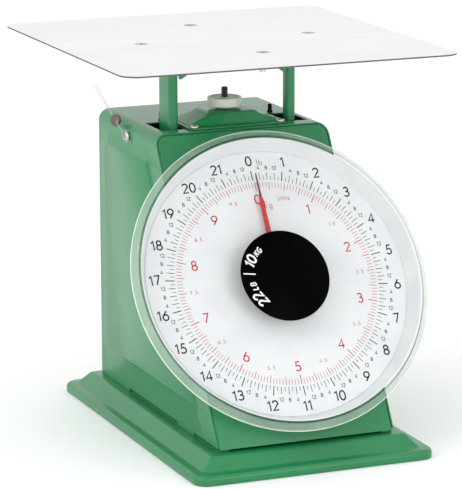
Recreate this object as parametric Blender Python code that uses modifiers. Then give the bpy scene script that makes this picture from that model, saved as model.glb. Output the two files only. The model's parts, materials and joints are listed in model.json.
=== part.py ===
"""Mechanical dial platform scale of the 10 kg class, built as an assembly of separate pieces.

Frame: metres, +X to the scale's right as its reader sees it, +Y to its back, +Z up. The origin is
on the ground, under the middle of the whole object. Three empties carry the pieces:
scale_frame (middle of the base), dial_axis (spindle line, +Z out of the dial, +Y up the dial)
and load_carriage (all that sinks with the load).
"""

import math

import bmesh
import bpy
from mathutils import Vector

MM = 0.001

# Sheet metal and clearances
GAP = 0.3 * MM  # between pieces that touch
RUNNING_GAP = 0.3 * MM  # radial, pins and shafts in their holes
BODY_SHEET = 0.9 * MM
BASE_SHEET = 1.0 * MM
MERGE = 0.01 * MM
CUT_REACH = 200 * MM  # how far the cutter of the sloping front reaches past it

# Screws: head radius, head height, shank radius, shank length
BRIDGE_SCREW = (3.0 * MM, 1.8 * MM, 1.5 * MM, 6.0 * MM)
BACK_SCREW = (3.2 * MM, 1.9 * MM, 1.5 * MM, 6.0 * MM)
BASE_SCREW = (3.4 * MM, 2.0 * MM, 1.6 * MM, 6.5 * MM)
SEAL_SCREW = (3.6 * MM, 2.2 * MM, 1.5 * MM, 6.0 * MM)

# Base pressing
BASE_WIDTH = 170.5 * MM
BASE_DEPTH = 263.0 * MM
BASE_HEIGHT = 15.2 * MM
BASE_CORNER = 10.0 * MM
BASE_LIP_HEIGHT = 6.5 * MM
BASE_LIP_ROUND = 3.0 * MM
BASE_LEDGE = 5.0 * MM
BASE_SLOPE = 8.0 * MM
BASE_SCREW_Y = -52.0 * MM
BASE_RIM = 6.0 * MM  # bottom rim turned inwards, which the scale stands on
BASE_RIM_EDGE = 0.8 * MM
BASE_TOP_EDGE = 1.0 * MM
BASE_LEAST_CORNER = 2.5 * MM
BASE_SCREW_INSET = 2.3 * MM  # past the middle of the body's foot flange

# Body
BODY_WIDTH = 126.4 * MM
BODY_TOP = 206.8 * MM
BODY_BACK_Y = 108.7 * MM
BODY_FRONT_Y = 0.1 * MM  # where the sloping front meets the top
BODY_FOLD = 8.0 * MM
BODY_FLANGE = 8.0 * MM
FLANGE_ROUND = 1.2 * MM
FLANGE_RUN = 20.0 * MM  # straight side above the foot flange
ZERO_HOLE_RADIUS = 7.0 * MM
FRONT_TILT = math.radians(30.4)  # front panel and dial, from the vertical
FRONT_FLANGE = 12.0 * MM
FRONT_EDGE_ROUND = 0.7 * MM
FOOT_SLIT_HEIGHT = 2.4 * MM
FOOT_SLITS_Y = ((-114.7 * MM, -69.0 * MM), (-40.0 * MM, 52.0 * MM))

# Posts, slots and platform
POST_OUTER = 46.5 * MM
POST_INNER = 39.7 * MM
POST_FRONT_Y = 14.3 * MM
POST_DEPTH = 19.2 * MM
POST_LIP = 6.0 * MM
POST_SHEET = 1.5 * MM
POST_ROUND = 1.8 * MM
POST_BOTTOM = 40.0 * MM
SLOT_X = (36.0 * MM, 53.5 * MM)
SLOT_Y = (11.0 * MM, 43.0 * MM)
PLATFORM_WIDTH = 238.0 * MM
PLATFORM_DEPTH = 247.0 * MM
PLATFORM_Y = 27.6 * MM
PLATFORM_TOP = 264.1 * MM
PLATFORM_SHEET = 1.2 * MM
PLATFORM_CORNER = 13.0 * MM
SPIDER_THICKNESS = 3.0 * MM
SPIDER_ARM = 22.0 * MM
SPIDER_HOLE_PLAY = 1.2 * MM
PLATFORM_SCREWS = ((-61.5 * MM, 0.0), (61.5 * MM, 0.0), (0.0, -65.0 * MM), (0.0, 65.0 * MM))
PLATFORM_SCREW_HEAD = 4.2 * MM
PLATFORM_SCREW_SHANK = 2.0 * MM
PLATFORM_SCREW_END = 251.0 * MM
BEAM_DEPTH = 12.0 * MM
BEAM_GUSSET = 8.0 * MM

# Dial
PANEL_BEHIND_DIAL = 6.645 * MM  # from the face of the dial plate to the front panel
DIAL_Z = 113.13 * MM
DIAL_PLATE_RADIUS = 92.5 * MM
DIAL_PLATE_THICKNESS = 0.8 * MM
PAN_FLOOR_RADIUS = 93.2 * MM
PAN_RIM_RADIUS = 98.4 * MM
PAN_RIM_HEIGHT = 10.6 * MM
PAN_SHEET = 0.8 * MM
COVER_RADIUS = 105.0 * MM
COVER_SHOULDER = 100.0 * MM
COVER_SHOULDER_HEIGHT = 12.1 * MM
COVER_CROWN = 14.0 * MM
COVER_LIP_HEIGHT = 7.0 * MM
COVER_WALL = 1.2 * MM
CENTRE_DISC_RADIUS = 31.3 * MM
CENTRE_DISC_THICKNESS = 0.6 * MM
DIAL_SPACER_RADII = (30.0 * MM, 40.0 * MM)
POINTER_LENGTH = 76.0 * MM
POINTER_TAIL = 24.0 * MM
POINTER_HUB = 6.0 * MM
POINTER_HEIGHT = 3.6 * MM
POINTER_SHEET = 0.8 * MM
POINTER_BOSS = 3.2 * MM
BUSH_RADIUS = 4.0 * MM
BUSH_FLANGE = 7.0 * MM
BUSH_FLANGE_THICKNESS = 2.0 * MM
BUSH_FRONT = -1.6 * MM
DIAL_BORE = 3.4 * MM

# Dial movement
FULL_TURN = 2.0 * math.pi
PINION_TEETH = 10
PINION_PITCH_RADIUS = 3.0 * MM
TOOTH_TIP = 0.42 * MM  # above the pitch line
TOOTH_ROOT = 0.72 * MM  # below the pitch line
TOOTH_SHARE = 0.36  # of the pitch, on the pitch line
GEAR_DEPTH = -30.0 * MM  # middle of the rack, behind the dial plate
GEAR_WIDTH = 3.0 * MM
SPINDLE_RADIUS = 1.0 * MM
BEARING_SHEET = 1.2 * MM
STRAP_LEFT = 14.0 * MM
STRAP_FOOT = 9.0 * MM
STRAP_WIDTH = 12.0 * MM
RACK_END = 3.38 * MM  # past its last tooth
RACK_BOTTOM = -32.0 * MM
RACK_BACK = PINION_PITCH_RADIUS + 4.5 * MM
RACK_PIN_HEIGHT = -28.0 * MM
RACK_PIN_RADIUS = 1.2 * MM
DRIVE_ARM_X = 8.6 * MM
DRIVE_ARM_SHEET = 1.5 * MM
DRIVE_ARM_HALF = 5.5 * MM  # half its height round the slot
DRIVE_ARM_END = 5.0 * MM
DRIVE_ARM_SHOULDER = 8.0 * MM
DRIVE_ARM_FOOT = (18.0 * MM, 34.0 * MM)
DRIVE_ARM_RISE = 12.0 * MM
SLOT_END_PLAY = 0.6 * MM

# Springs and zero adjuster
ZERO_Y = 30.0 * MM
SPRING_X = 20.0 * MM
SPRING_MEAN_RADIUS = 6.2 * MM
SPRING_WIRE = 1.8 * MM
SPRING_TURNS = 9
CRADLE_BAR_Z = (50.0 * MM, 54.0 * MM)
CRADLE_BAR_Y = (22.0 * MM, 38.0 * MM)
ZERO_BEAM_Z = (BODY_TOP - 20.8 * MM, BODY_TOP - 15.8 * MM)
SPRING_BEAM_DEPTH = 14.0 * MM
SPRING_PLUG_LENGTH = 8.0 * MM
PLUG_STEM = 2.0 * MM
PLUG_FLANGE = 1.5 * MM
BRIDGE_X = 35.5 * MM
BRIDGE_Y = (3.5 * MM, 54.0 * MM)
BRIDGE_HEIGHT = 8.7 * MM
BRIDGE_SHEET = 1.0 * MM
KNOB_RADIUS = 12.7 * MM
KNOB_Z = (BODY_TOP + 10.8 * MM, BODY_TOP + 17.2 * MM)
KNOB_COLLAR = 6.0 * MM
ZERO_SCREW_RADIUS = 2.3 * MM
ZERO_SCREW_TOP = KNOB_Z[1] + 6.5 * MM
ZERO_SCREW_TAIL = 4.0 * MM
ZERO_NUT = (2.5 * MM, 3.0 * MM)  # how far it stands out of the screw, and its height

# Parallel stay links
STAY_FRAME_Y = 98.0 * MM
STAY_CARRIAGE_Y = 27.0 * MM
STAY_FRAME_Z = (66.0 * MM, BODY_TOP - 40.8 * MM)
STAY_X = 30.0 * MM
STAY_SHEET = 1.5 * MM
STAY_HALF_WIDTH = 5.0 * MM
STAY_PIN_RADIUS = 1.5 * MM
STAY_EYE_RADIUS = 3.1 * MM  # open pivot, with play round the carriage pin
BRACKET_X = 34.0 * MM
BRACKET_HEIGHT = BODY_TOP - 31.8 * MM
BRACKET_WING = 52.0 * MM
BACK_SCREW_X = 43.0 * MM
BACK_SCREW_Z = 110.0 * MM
BRACKET_NOSE = 8.0 * MM
SHEET_BEND = 2.0 * MM
PIN_OVERHANG = 2.0 * MM

# Stop buffers on the top, behind the posts
STOP_BUFFER_X = 40.5 * MM
STOP_BUFFER_BEHIND_SLOT = 3.0 * MM
STOP_BUFFER_RADIUS = 2.0 * MM
STOP_BUFFER_HEIGHT = 6.2 * MM

# Seal
SEAL_SCREW_Y = 50.3 * MM
SEAL_SCREW_Z = BODY_TOP - 9.5 * MM
SEAL_Y = 66.0 * MM
SEAL_Z = BODY_TOP - 0.8 * MM
SEAL_RADIUS = 4.0 * MM
SEAL_WIRE_RADIUS = 0.45 * MM
SEAL_WIRE_END = (-67.5 * MM, 106.0 * MM, BODY_TOP + 20.2 * MM)
SEAL_STAND_OFF = 3.2 * MM
SEAL_HALF_THICKNESS = 1.5 * MM
SEAL_WIRE_START = 4.4 * MM  # past the screw's axis
SEAL_WIRE_STRAIGHT = 4.6 * MM  # each side of the seal
SEAL_WIRE_BOW = (-1.5 * MM, 0.0, 2.0 * MM)
SEAL_WIRE_STEPS = 8

HALF = BODY_WIDTH / 2
TRAVEL = FULL_TURN * PINION_PITCH_RADIUS * math.cos(FRONT_TILT)
STAY_LIFT = TRAVEL / 2  # how far the carriage end of a stay stands above its frame end at rest
SPIDER_TOP = PLATFORM_TOP - PLATFORM_SHEET - GAP
POST_TOP = SPIDER_TOP - SPIDER_THICKNESS - GAP
DIAL_Y = (
    BODY_FRONT_Y - (BODY_TOP - DIAL_Z) * math.tan(FRONT_TILT) - PANEL_BEHIND_DIAL / math.cos(FRONT_TILT)
)
MIDDLE_Y = -(PLATFORM_Y + PLATFORM_DEPTH / 2 - BASE_DEPTH / 2) / 2

for old in list(bpy.data.objects):
    bpy.data.objects.remove(old, do_unlink=True)

PARTS = bpy.data.collections.new("dial_platform_scale")
CUTTERS = bpy.data.collections.new("cutters")
for group in (PARTS, CUTTERS):
    bpy.context.scene.collection.children.link(group)


def finish(name, colour, roughness, metallic=0.0, alpha=1.0):
    """A Principled material from an 8-bit display colour."""
    linear = [((c / 255 + 0.055) / 1.055) ** 2.4 for c in colour]
    material = bpy.data.materials.new(name)
    material.use_nodes = True
    shader = material.node_tree.nodes["Principled BSDF"]
    shader.inputs["Base Color"].default_value = (*linear, 1.0)
    shader.inputs["Roughness"].default_value = roughness
    shader.inputs["Metallic"].default_value = metallic
    shader.inputs["Alpha"].default_value = alpha
    material.diffuse_color = (*linear, alpha)
    return material


GREEN = finish("green_enamel", (84, 150, 112), 0.35)
STAINLESS = finish("stainless_platform", (225, 226, 226), 0.3, 0.9)
DIAL_WHITE = finish("dial_white", (224, 228, 230), 0.5)
CLEAR = finish("clear_plastic", (235, 242, 240), 0.08, 0.0, 0.2)
BLACK = finish("black_plastic", (20, 20, 22), 0.4)
RED = finish("pointer_red", (200, 35, 40), 0.4)
IVORY = finish("ivory_plastic", (206, 209, 198), 0.45)
ZINC = finish("zinc_plated_steel", (190, 190, 184), 0.35, 1.0)
DARK_STEEL = finish("dark_steel", (70, 70, 68), 0.4, 1.0)
BRASS = finish("brass", (190, 160, 90), 0.3, 1.0)
LEAD = finish("seal_lead", (120, 114, 110), 0.6, 0.6)


# Building blocks


def empty(name, location, tilt=0.0, parent=None):
    obj = bpy.data.objects.new(name, None)
    bpy.context.scene.collection.objects.link(obj)
    obj.location = location
    obj.rotation_euler.x = tilt
    obj.parent = parent
    return obj


def place(name, data, material, parent, location=(0, 0, 0), rotation=(0, 0, 0), group=PARTS):
    obj = bpy.data.objects.new(name, data)
    group.objects.link(obj)
    obj.location = location
    obj.rotation_euler = rotation
    obj.parent = parent
    if material:
        data.materials.append(material)
    return obj


def mesh_from(bm, name, smooth_angle=None):
    mesh = bpy.data.meshes.new(name)
    bm.to_mesh(mesh)
    bm.free()
    if smooth_angle:
        mesh.shade_smooth()
        mesh.set_sharp_from_angle(angle=smooth_angle)
    return mesh


def box_mesh(name, low, high):
    bm = bmesh.new()
    bmesh.ops.create_cube(bm, size=1.0)
    for v in bm.verts:
        v.co = Vector((low[i] if v.co[i] < 0 else high[i] for i in range(3)))
    return mesh_from(bm, name)


def cylinder_mesh(name, radius, length, segments=12):
    """A cylinder along local Z, centred."""
    bm = bmesh.new()
    bmesh.ops.create_cone(
        bm, cap_ends=True, segments=segments, radius1=radius, radius2=radius, depth=length
    )
    return mesh_from(bm, name, math.radians(40))


def cylinder(name, radius, length, material, parent, location, rotation=(0, 0, 0)):
    return place(name, cylinder_mesh(name, radius, length), material, parent, location, rotation)


def cut(obj, name, mesh, parent, location=(0, 0, 0), rotation=(0, 0, 0)):
    """Cuts a cutter's shape out of a piece."""
    cutter = place(name, mesh, None, parent, location, rotation, CUTTERS)
    cutter.hide_render = True
    cutter.display_type = "WIRE"
    boolean = obj.modifiers.new(name, "BOOLEAN")
    boolean.operation = "DIFFERENCE"
    boolean.solver = "EXACT"
    boolean.object = cutter


def drill(obj, name, radius, length, parent, location, rotation=(0, 0, 0)):
    cut(obj, name, cylinder_mesh(name, radius, length), parent, location, rotation)


def turned(name, profile, material, parent, location=(0, 0, 0), rotation=(0, 0, 0), ring=False,
           steps=28):
    """A turned piece about local Z. The profile of (radius, height) runs down its outer side."""
    bm = bmesh.new()
    points = [bm.verts.new((radius, 0.0, height)) for radius, height in profile]
    for first, second in zip(points, points[1:]):
        bm.edges.new((first, second))
    if ring:
        bm.edges.new((points[-1], points[0]))
    obj = place(name, mesh_from(bm, name), material, parent, location, rotation)
    screw = obj.modifiers.new("turn", "SCREW")
    screw.steps = steps
    screw.render_steps = steps
    screw.use_merge_vertices = True
    screw.merge_threshold = MERGE
    screw.use_smooth_shade = False
    return obj


def outline(name, loops, thickness, material, parent, location=(0, 0, 0), rotation=(0, 0, 0)):
    """A flat plate in its local XY plane: the first loop is its edge, the others are holes."""
    curve = bpy.data.curves.new(name, "CURVE")
    curve.dimensions = "2D"
    curve.fill_mode = "BOTH"
    curve.extrude = thickness / 2
    for loop in loops:
        spline = curve.splines.new("POLY")
        spline.points.add(len(loop) - 1)
        for point, (x, y) in zip(spline.points, loop):
            point.co = (x, y, 0.0, 1.0)
        spline.use_cyclic_u = True
    return place(name, curve, material, parent, location, rotation)


def wire(name, points, radius, material, parent, location=(0, 0, 0)):
    curve = bpy.data.curves.new(name, "CURVE")
    curve.dimensions = "3D"
    curve.bevel_depth = radius
    curve.bevel_resolution = 2
    curve.use_fill_caps = True
    spline = curve.splines.new("POLY")
    spline.points.add(len(points) - 1)
    for point, place_at in zip(spline.points, points):
        point.co = (*place_at, 1.0)
    return place(name, curve, material, parent, location)


def thicken(obj, thickness, offset):
    solid = obj.modifiers.new("sheet", "SOLIDIFY")
    solid.thickness = thickness
    solid.offset = offset
    solid.use_even_offset = True
    return obj


def strip(name, path, across, thickness, material, parent, location=(0, 0, 0)):
    """Folded sheet: a path of points on its middle surface, swept along the vector across."""
    bm = bmesh.new()
    near = [bm.verts.new(point) for point in path]
    far = [bm.verts.new(Vector(point) + Vector(across)) for point in path]
    for i in range(len(path) - 1):
        bm.faces.new((near[i], near[i + 1], far[i + 1], far[i]))
    obj = place(name, mesh_from(bm, name), material, parent, location)
    return thicken(obj, thickness, 0.0)


def arc(centre, radius, start, end, steps):
    """Points on an arc, angles in degrees, both ends included."""
    angles = [math.radians(start + (end - start) * i / steps) for i in range(steps + 1)]
    return [(centre[0] + radius * math.cos(a), centre[1] + radius * math.sin(a)) for a in angles]


def circle(centre, radius, steps=16):
    return arc(centre, radius, 0, 360 - 360 / steps, steps - 1)


def filleted(corners, radius, steps=4):
    """An open path whose inner corners are rounded."""
    points = [corners[0]]
    for before, corner, after in zip(corners, corners[1:], corners[2:]):
        corner = Vector(corner)
        inward = (Vector(before) - corner).normalized()
        outward = (Vector(after) - corner).normalized()
        half_angle = inward.angle(outward) / 2
        reach = radius / math.tan(half_angle)
        middle = corner + (inward + outward).normalized() * (radius / math.sin(half_angle))
        first = corner + inward * reach - middle
        last = corner + outward * reach - middle
        start = math.atan2(first.y, first.x)
        turn = math.atan2(first.cross(last), first.dot(last))
        for i in range(steps + 1):
            angle = start + turn * i / steps
            points.append(tuple(middle + Vector((math.cos(angle), math.sin(angle))) * radius))
    points.append(corners[-1])
    return points


def rounded_rectangle(width, depth, radius, steps=5):
    x = width / 2 - radius
    y = depth / 2 - radius
    corners = ((x, y, 0), (-x, y, 90), (-x, -y, 180), (x, -y, 270))
    points = []
    for cx, cy, start in corners:
        points += arc((cx, cy), radius, start, start + 90, steps)
    return points


def pressing(name, rings, thickness, material, parent, location=(0, 0, 0)):
    """A pressed sheet: rings of points from its edge to its closed top, outer surface."""
    bm = bmesh.new()
    loops = [[bm.verts.new(point) for point in ring] for ring in rings]
    for lower, upper in zip(loops, loops[1:]):
        for i in range(len(lower)):
            j = (i + 1) % len(lower)
            bm.faces.new((lower[i], lower[j], upper[j], upper[i]))
    bm.faces.new(loops[-1])
    obj = place(name, mesh_from(bm, name), material, parent, location)
    return thicken(obj, thickness, -1.0)


def screw_profile(sizes):
    """Pan-head screw, head up, underside of the head at height 0."""
    head_radius, head_height, shank_radius, shank_length = sizes
    return [
        (0.0, head_height),
        (head_radius * 0.6, head_height),
        (head_radius * 0.9, head_height * 0.7),
        (head_radius, head_height * 0.25),
        (head_radius, 0.0),
        (shank_radius, 0.0),
        (shank_radius, -shank_length),
        (0.0, -shank_length),
    ]


# The pieces


def front_y(z):
    """The sloping front's outer face at this height."""
    return BODY_FRONT_Y - (BODY_TOP - z) * math.tan(FRONT_TILT)


def body_section(clearance, bottom):
    """The body's inverted U from corner to corner, this far inside its outer face."""
    x = HALF - clearance
    top = BODY_TOP - clearance
    radius = BODY_FOLD - clearance
    points = [(-x, bottom)]
    points += arc((-x + radius, top - radius), radius, 180, 90, 6)
    points += arc((x - radius, top - radius), radius, 90, 0, 6)
    points.append((x, bottom))
    return points


def build_base(frame):
    def ring(inset, z):
        radius = max(BASE_CORNER - inset, BASE_LEAST_CORNER)
        flat = rounded_rectangle(BASE_WIDTH - 2 * inset, BASE_DEPTH - 2 * inset, radius)
        return [(x, y, z) for x, y in flat]

    slope_start = BASE_LIP_ROUND + BASE_LEDGE
    rings = [ring(BASE_RIM, 0.0), ring(BASE_RIM_EDGE, 0.0), ring(0.0, BASE_RIM_EDGE)]
    for step in range(4):
        angle = math.radians(30 * step)
        inset = BASE_LIP_ROUND * (1 - math.cos(angle))
        rings.append(ring(inset, BASE_LIP_HEIGHT - BASE_LIP_ROUND * (1 - math.sin(angle))))
    rings.append(ring(slope_start, BASE_LIP_HEIGHT + 0.3 * MM))
    rings.append(ring(slope_start + BASE_SLOPE * 0.85, BASE_HEIGHT - BASE_TOP_EDGE))
    rings.append(ring(slope_start + BASE_SLOPE + BASE_TOP_EDGE, BASE_HEIGHT))
    base = pressing("base_plate", rings, BASE_SHEET, GREEN, frame)
    for i, (x, y) in enumerate(base_screw_places()):
        hole = BASE_SCREW[2] + RUNNING_GAP
        drill(base, f"base_hole_{i + 1}", hole, 10 * MM, frame, (x, y, BASE_HEIGHT))
    return base


def base_screw_places():
    x = HALF - BODY_SHEET - BODY_FLANGE / 2 - BASE_SCREW_INSET
    return [(side * x, BASE_SCREW_Y) for side in (-1, 1)]


def build_body(frame, front_plane):
    foot = BASE_HEIGHT + GAP
    middle = BODY_SHEET / 2
    flange_x = HALF - BODY_SHEET - BODY_FLANGE
    x = HALF - middle
    side_low = foot + FLANGE_RUN
    left = filleted([(-flange_x, foot + middle), (-x, foot + middle), (-x, side_low)], FLANGE_ROUND)
    right = [(-px, pz) for px, pz in reversed(left)]
    path = left[:-1] + body_section(middle, side_low)[1:-1] + right[1:]
    start = front_y(foot) - 5 * MM
    shell = strip(
        "cover_shell",
        [(px, start, pz) for px, pz in path],
        (0, BODY_BACK_Y - start, 0),
        BODY_SHEET,
        GREEN,
        frame,
    )
    wedge = box_mesh(
        "front_wedge",
        (-HALF - CUT_REACH, -BODY_TOP - CUT_REACH, 0),
        (HALF + CUT_REACH, CUT_REACH, CUT_REACH),
    )
    cut(shell, "front_wedge", wedge, front_plane)
    for side in (-1, 1):
        low_x, high_x = sorted((side * SLOT_X[0], side * SLOT_X[1]))
        slot = box_mesh(
            "slot_cutter",
            (low_x, SLOT_Y[0], BODY_TOP - 5 * MM),
            (high_x, SLOT_Y[1], BODY_TOP + 5 * MM),
        )
        cut(shell, f"post_slot_{'left' if side < 0 else 'right'}", slot, frame)
        for i, (low_y, high_y) in enumerate(FOOT_SLITS_Y):
            low_x, high_x = sorted((side * (HALF - BODY_SHEET - 0.5 * MM), side * (HALF + 1 * MM)))
            slit = box_mesh(
                "slit_cutter",
                (low_x, low_y, foot - 1 * MM),
                (high_x, high_y, foot + FOOT_SLIT_HEIGHT),
            )
            cut(shell, f"foot_slit_{side}_{i}", slit, frame)
    drill(shell, "zero_hole", ZERO_HOLE_RADIUS, 10 * MM, frame, (0, ZERO_Y, BODY_TOP))
    for i, (px, py) in enumerate(bridge_screw_places()):
        hole = BRIDGE_SCREW[2] + RUNNING_GAP
        drill(shell, f"bridge_hole_{i + 1}", hole, 10 * MM, frame, (px, py, BODY_TOP))
    for i, (px, py) in enumerate(base_screw_places()):
        drill(shell, f"foot_hole_{i + 1}", BASE_SCREW[2] + RUNNING_GAP, 8 * MM, frame, (px, py, foot))
    drill(
        shell, "seal_hole", SEAL_SCREW[2] + RUNNING_GAP, 8 * MM, frame,
        (-HALF, SEAL_SCREW_Y, SEAL_SCREW_Z), (0, math.pi / 2, 0),
    )


def build_front_panel(frame, dial_axis):
    bottom = BASE_HEIGHT + 2 * GAP + BODY_SHEET
    section = body_section(BODY_SHEET + GAP, bottom)
    bm = bmesh.new()
    front = [bm.verts.new((x, front_y(z), z)) for x, z in section]
    back = [bm.verts.new((x, front_y(z) + FRONT_FLANGE, z)) for x, z in section]
    bm.faces.new(front)
    for i in range(len(section)):
        j = (i + 1) % len(section)
        bm.faces.new((front[i], back[i], back[j], front[j]))
    bmesh.ops.recalc_face_normals(bm, faces=bm.faces)
    if bm.faces[0].normal.y > 0:
        bmesh.ops.reverse_faces(bm, faces=bm.faces)
    panel = place("front_panel", mesh_from(bm, "front_panel"), GREEN, frame)
    bevel = panel.modifiers.new("edge", "BEVEL")
    bevel.width = FRONT_EDGE_ROUND
    bevel.segments = 2
    bevel.limit_method = "ANGLE"
    thicken(panel, BODY_SHEET, -1.0)
    bush_hole = BUSH_RADIUS + RUNNING_GAP
    drill(panel, "bush_hole", bush_hole, 20 * MM, dial_axis, (0, 0, -PANEL_BEHIND_DIAL))
    for i, (x, y) in enumerate(bridge_screw_places()):
        hole = BRIDGE_SCREW[2] + RUNNING_GAP
        drill(panel, f"panel_hole_{i + 1}", hole, 10 * MM, frame, (x, y, BODY_TOP))


def build_back_panel(frame):
    bottom = BASE_HEIGHT + 2 * GAP + BODY_SHEET
    section = body_section(BODY_SHEET + GAP, bottom)
    holes = [circle(place_at, BACK_SCREW[2] + RUNNING_GAP, 16) for place_at in back_screw_places()]
    y = BODY_BACK_Y - GAP - BODY_SHEET / 2
    outline(
        "back_panel", [section] + holes, BODY_SHEET, GREEN, frame, (0, y, 0), (math.pi / 2, 0, 0)
    )


def back_screw_places():
    return [(side * BACK_SCREW_X, BACK_SCREW_Z) for side in (-1, 1)]


def bridge_screw_places():
    return [(side * (BRIDGE_X - 4.0 * MM), BRIDGE_Y[0] + 3.3 * MM) for side in (-1, 1)]


def build_zero_bridge(frame):
    y0, y1 = BRIDGE_Y
    middle = (y0 + y1) / 2
    foot = BODY_TOP + GAP + BRIDGE_SHEET
    levels = (
        (2 * BRIDGE_X, y1 - y0, 4 * MM, foot),
        (2 * BRIDGE_X - 4 * MM, y1 - y0 - 13 * MM, 3 * MM, foot),
        (2 * BRIDGE_X - 6 * MM, y1 - y0 - 14.5 * MM, 3 * MM, foot + 1.0 * MM),
        (2 * BRIDGE_X - 19 * MM, y1 - y0 - 21 * MM, 4 * MM, foot + BRIDGE_HEIGHT - 2.6 * MM),
        (2 * BRIDGE_X - 24 * MM, y1 - y0 - 24 * MM, 4 * MM, foot + BRIDGE_HEIGHT - BRIDGE_SHEET),
    )
    rings = []
    for width, depth, radius, z in levels:
        flat = rounded_rectangle(width, depth, radius, 3)
        rings.append([(x, y + middle, z) for x, y in flat])
    bridge = pressing("zero_bridge", rings, BRIDGE_SHEET, GREEN, frame)
    screw_hole = ZERO_SCREW_RADIUS + 0.7 * MM
    drill(bridge, "zero_bridge_hole", screw_hole, 30 * MM, frame, (0, ZERO_Y, foot))
    for i, (x, y) in enumerate(bridge_screw_places()):
        hole = BRIDGE_SCREW[2] + RUNNING_GAP
        drill(bridge, f"bridge_foot_hole_{i + 1}", hole, 8 * MM, frame, (x, y, foot))
        profile = screw_profile(BRIDGE_SCREW)
        turned(f"bridge_screw_{i + 1}", profile, ZINC, frame, (x, y, foot + GAP), steps=10)


def build_knob(frame):
    low, high = KNOB_Z
    bore = ZERO_SCREW_RADIUS + RUNNING_GAP
    knob = [
        (bore, high),
        (KNOB_RADIUS - 0.8 * MM, high - 0.5 * MM),
        (KNOB_RADIUS, high - 1.4 * MM),
        (KNOB_RADIUS, low + 0.8 * MM),
        (KNOB_RADIUS - 0.8 * MM, low),
        (KNOB_COLLAR, low),
        (KNOB_COLLAR, BODY_TOP + GAP + BRIDGE_HEIGHT + GAP),
        (bore, BODY_TOP + GAP + BRIDGE_HEIGHT + GAP),
    ]
    turned("zero_knob", knob, IVORY, frame, (0, ZERO_Y, 0), ring=True, steps=28)


def build_zero_beam(frame):
    zero_beam = empty("zero_beam_slide", (0, ZERO_Y, 0), parent=frame)
    low, high = ZERO_BEAM_Z
    r = ZERO_SCREW_RADIUS
    nut_out, nut_height = ZERO_NUT
    profile = [
        (0, ZERO_SCREW_TOP),
        (r - 0.5 * MM, ZERO_SCREW_TOP),
        (r, ZERO_SCREW_TOP - 0.6 * MM),
        (r, high + GAP + nut_height),
        (r + nut_out, high + GAP + nut_height),
        (r + nut_out, high + GAP),
        (r, high + GAP),
        (r, low - ZERO_SCREW_TAIL),
        (0, low - ZERO_SCREW_TAIL),
    ]
    turned("zero_screw", profile, DARK_STEEL, zero_beam, steps=14)
    x = SPRING_X + 9 * MM
    beam_holes = [circle((0, 0), r + RUNNING_GAP)]
    beam_holes += [circle((side * SPRING_X, 0), PLUG_STEM + GAP, 16) for side in (-1, 1)]
    outline(
        "spring_beam",
        [rounded_rectangle(2 * x, SPRING_BEAM_DEPTH, 3 * MM)] + beam_holes,
        high - low,
        DARK_STEEL,
        zero_beam,
        (0, 0, (low + high) / 2),
    )
    for side, word in ((-1, "left"), (1, "right")):
        at = (side * SPRING_X, 0, low)
        build_spring_plug(f"upper_spring_plug_{word}", zero_beam, at, 1, high - low)


def build_spring_plug(name, parent, location, facing, through):
    """A round plug that a spring is wound onto. Its stem passes up or down through a plate."""
    radius = SPRING_MEAN_RADIUS - SPRING_WIRE / 2 - GAP
    profile = [
        (0, through + 1.5 * MM),
        (PLUG_STEM, through + 1.5 * MM),
        (PLUG_STEM, -GAP),
        (radius + SPRING_WIRE, -GAP),
        (radius + SPRING_WIRE, -PLUG_FLANGE),
        (radius, -PLUG_FLANGE),
        (radius, -SPRING_PLUG_LENGTH),
        (0, -SPRING_PLUG_LENGTH),
    ]
    turn = 0.0 if facing > 0 else math.pi
    turned(name, profile, ZINC, parent, location, (turn, 0, 0), steps=14)


def build_springs(frame):
    low = CRADLE_BAR_Z[1] + PLUG_FLANGE + GAP + SPRING_WIRE / 2
    high = ZERO_BEAM_Z[0] - PLUG_FLANGE - GAP - SPRING_WIRE / 2
    per_turn = 9
    for side, word in ((-1, "left"), (1, "right")):
        points = []
        for i in range(SPRING_TURNS * per_turn + 1):
            angle = -side * FULL_TURN * i / per_turn
            z = low + (high - low) * i / (SPRING_TURNS * per_turn)
            x = SPRING_MEAN_RADIUS * math.cos(angle)
            y = SPRING_MEAN_RADIUS * math.sin(angle)
            points.append((x, y, z))
        wire(
            f"main_spring_{word}", points, SPRING_WIRE / 2, DARK_STEEL, frame,
            (side * SPRING_X, ZERO_Y, 0),
        )


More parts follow.
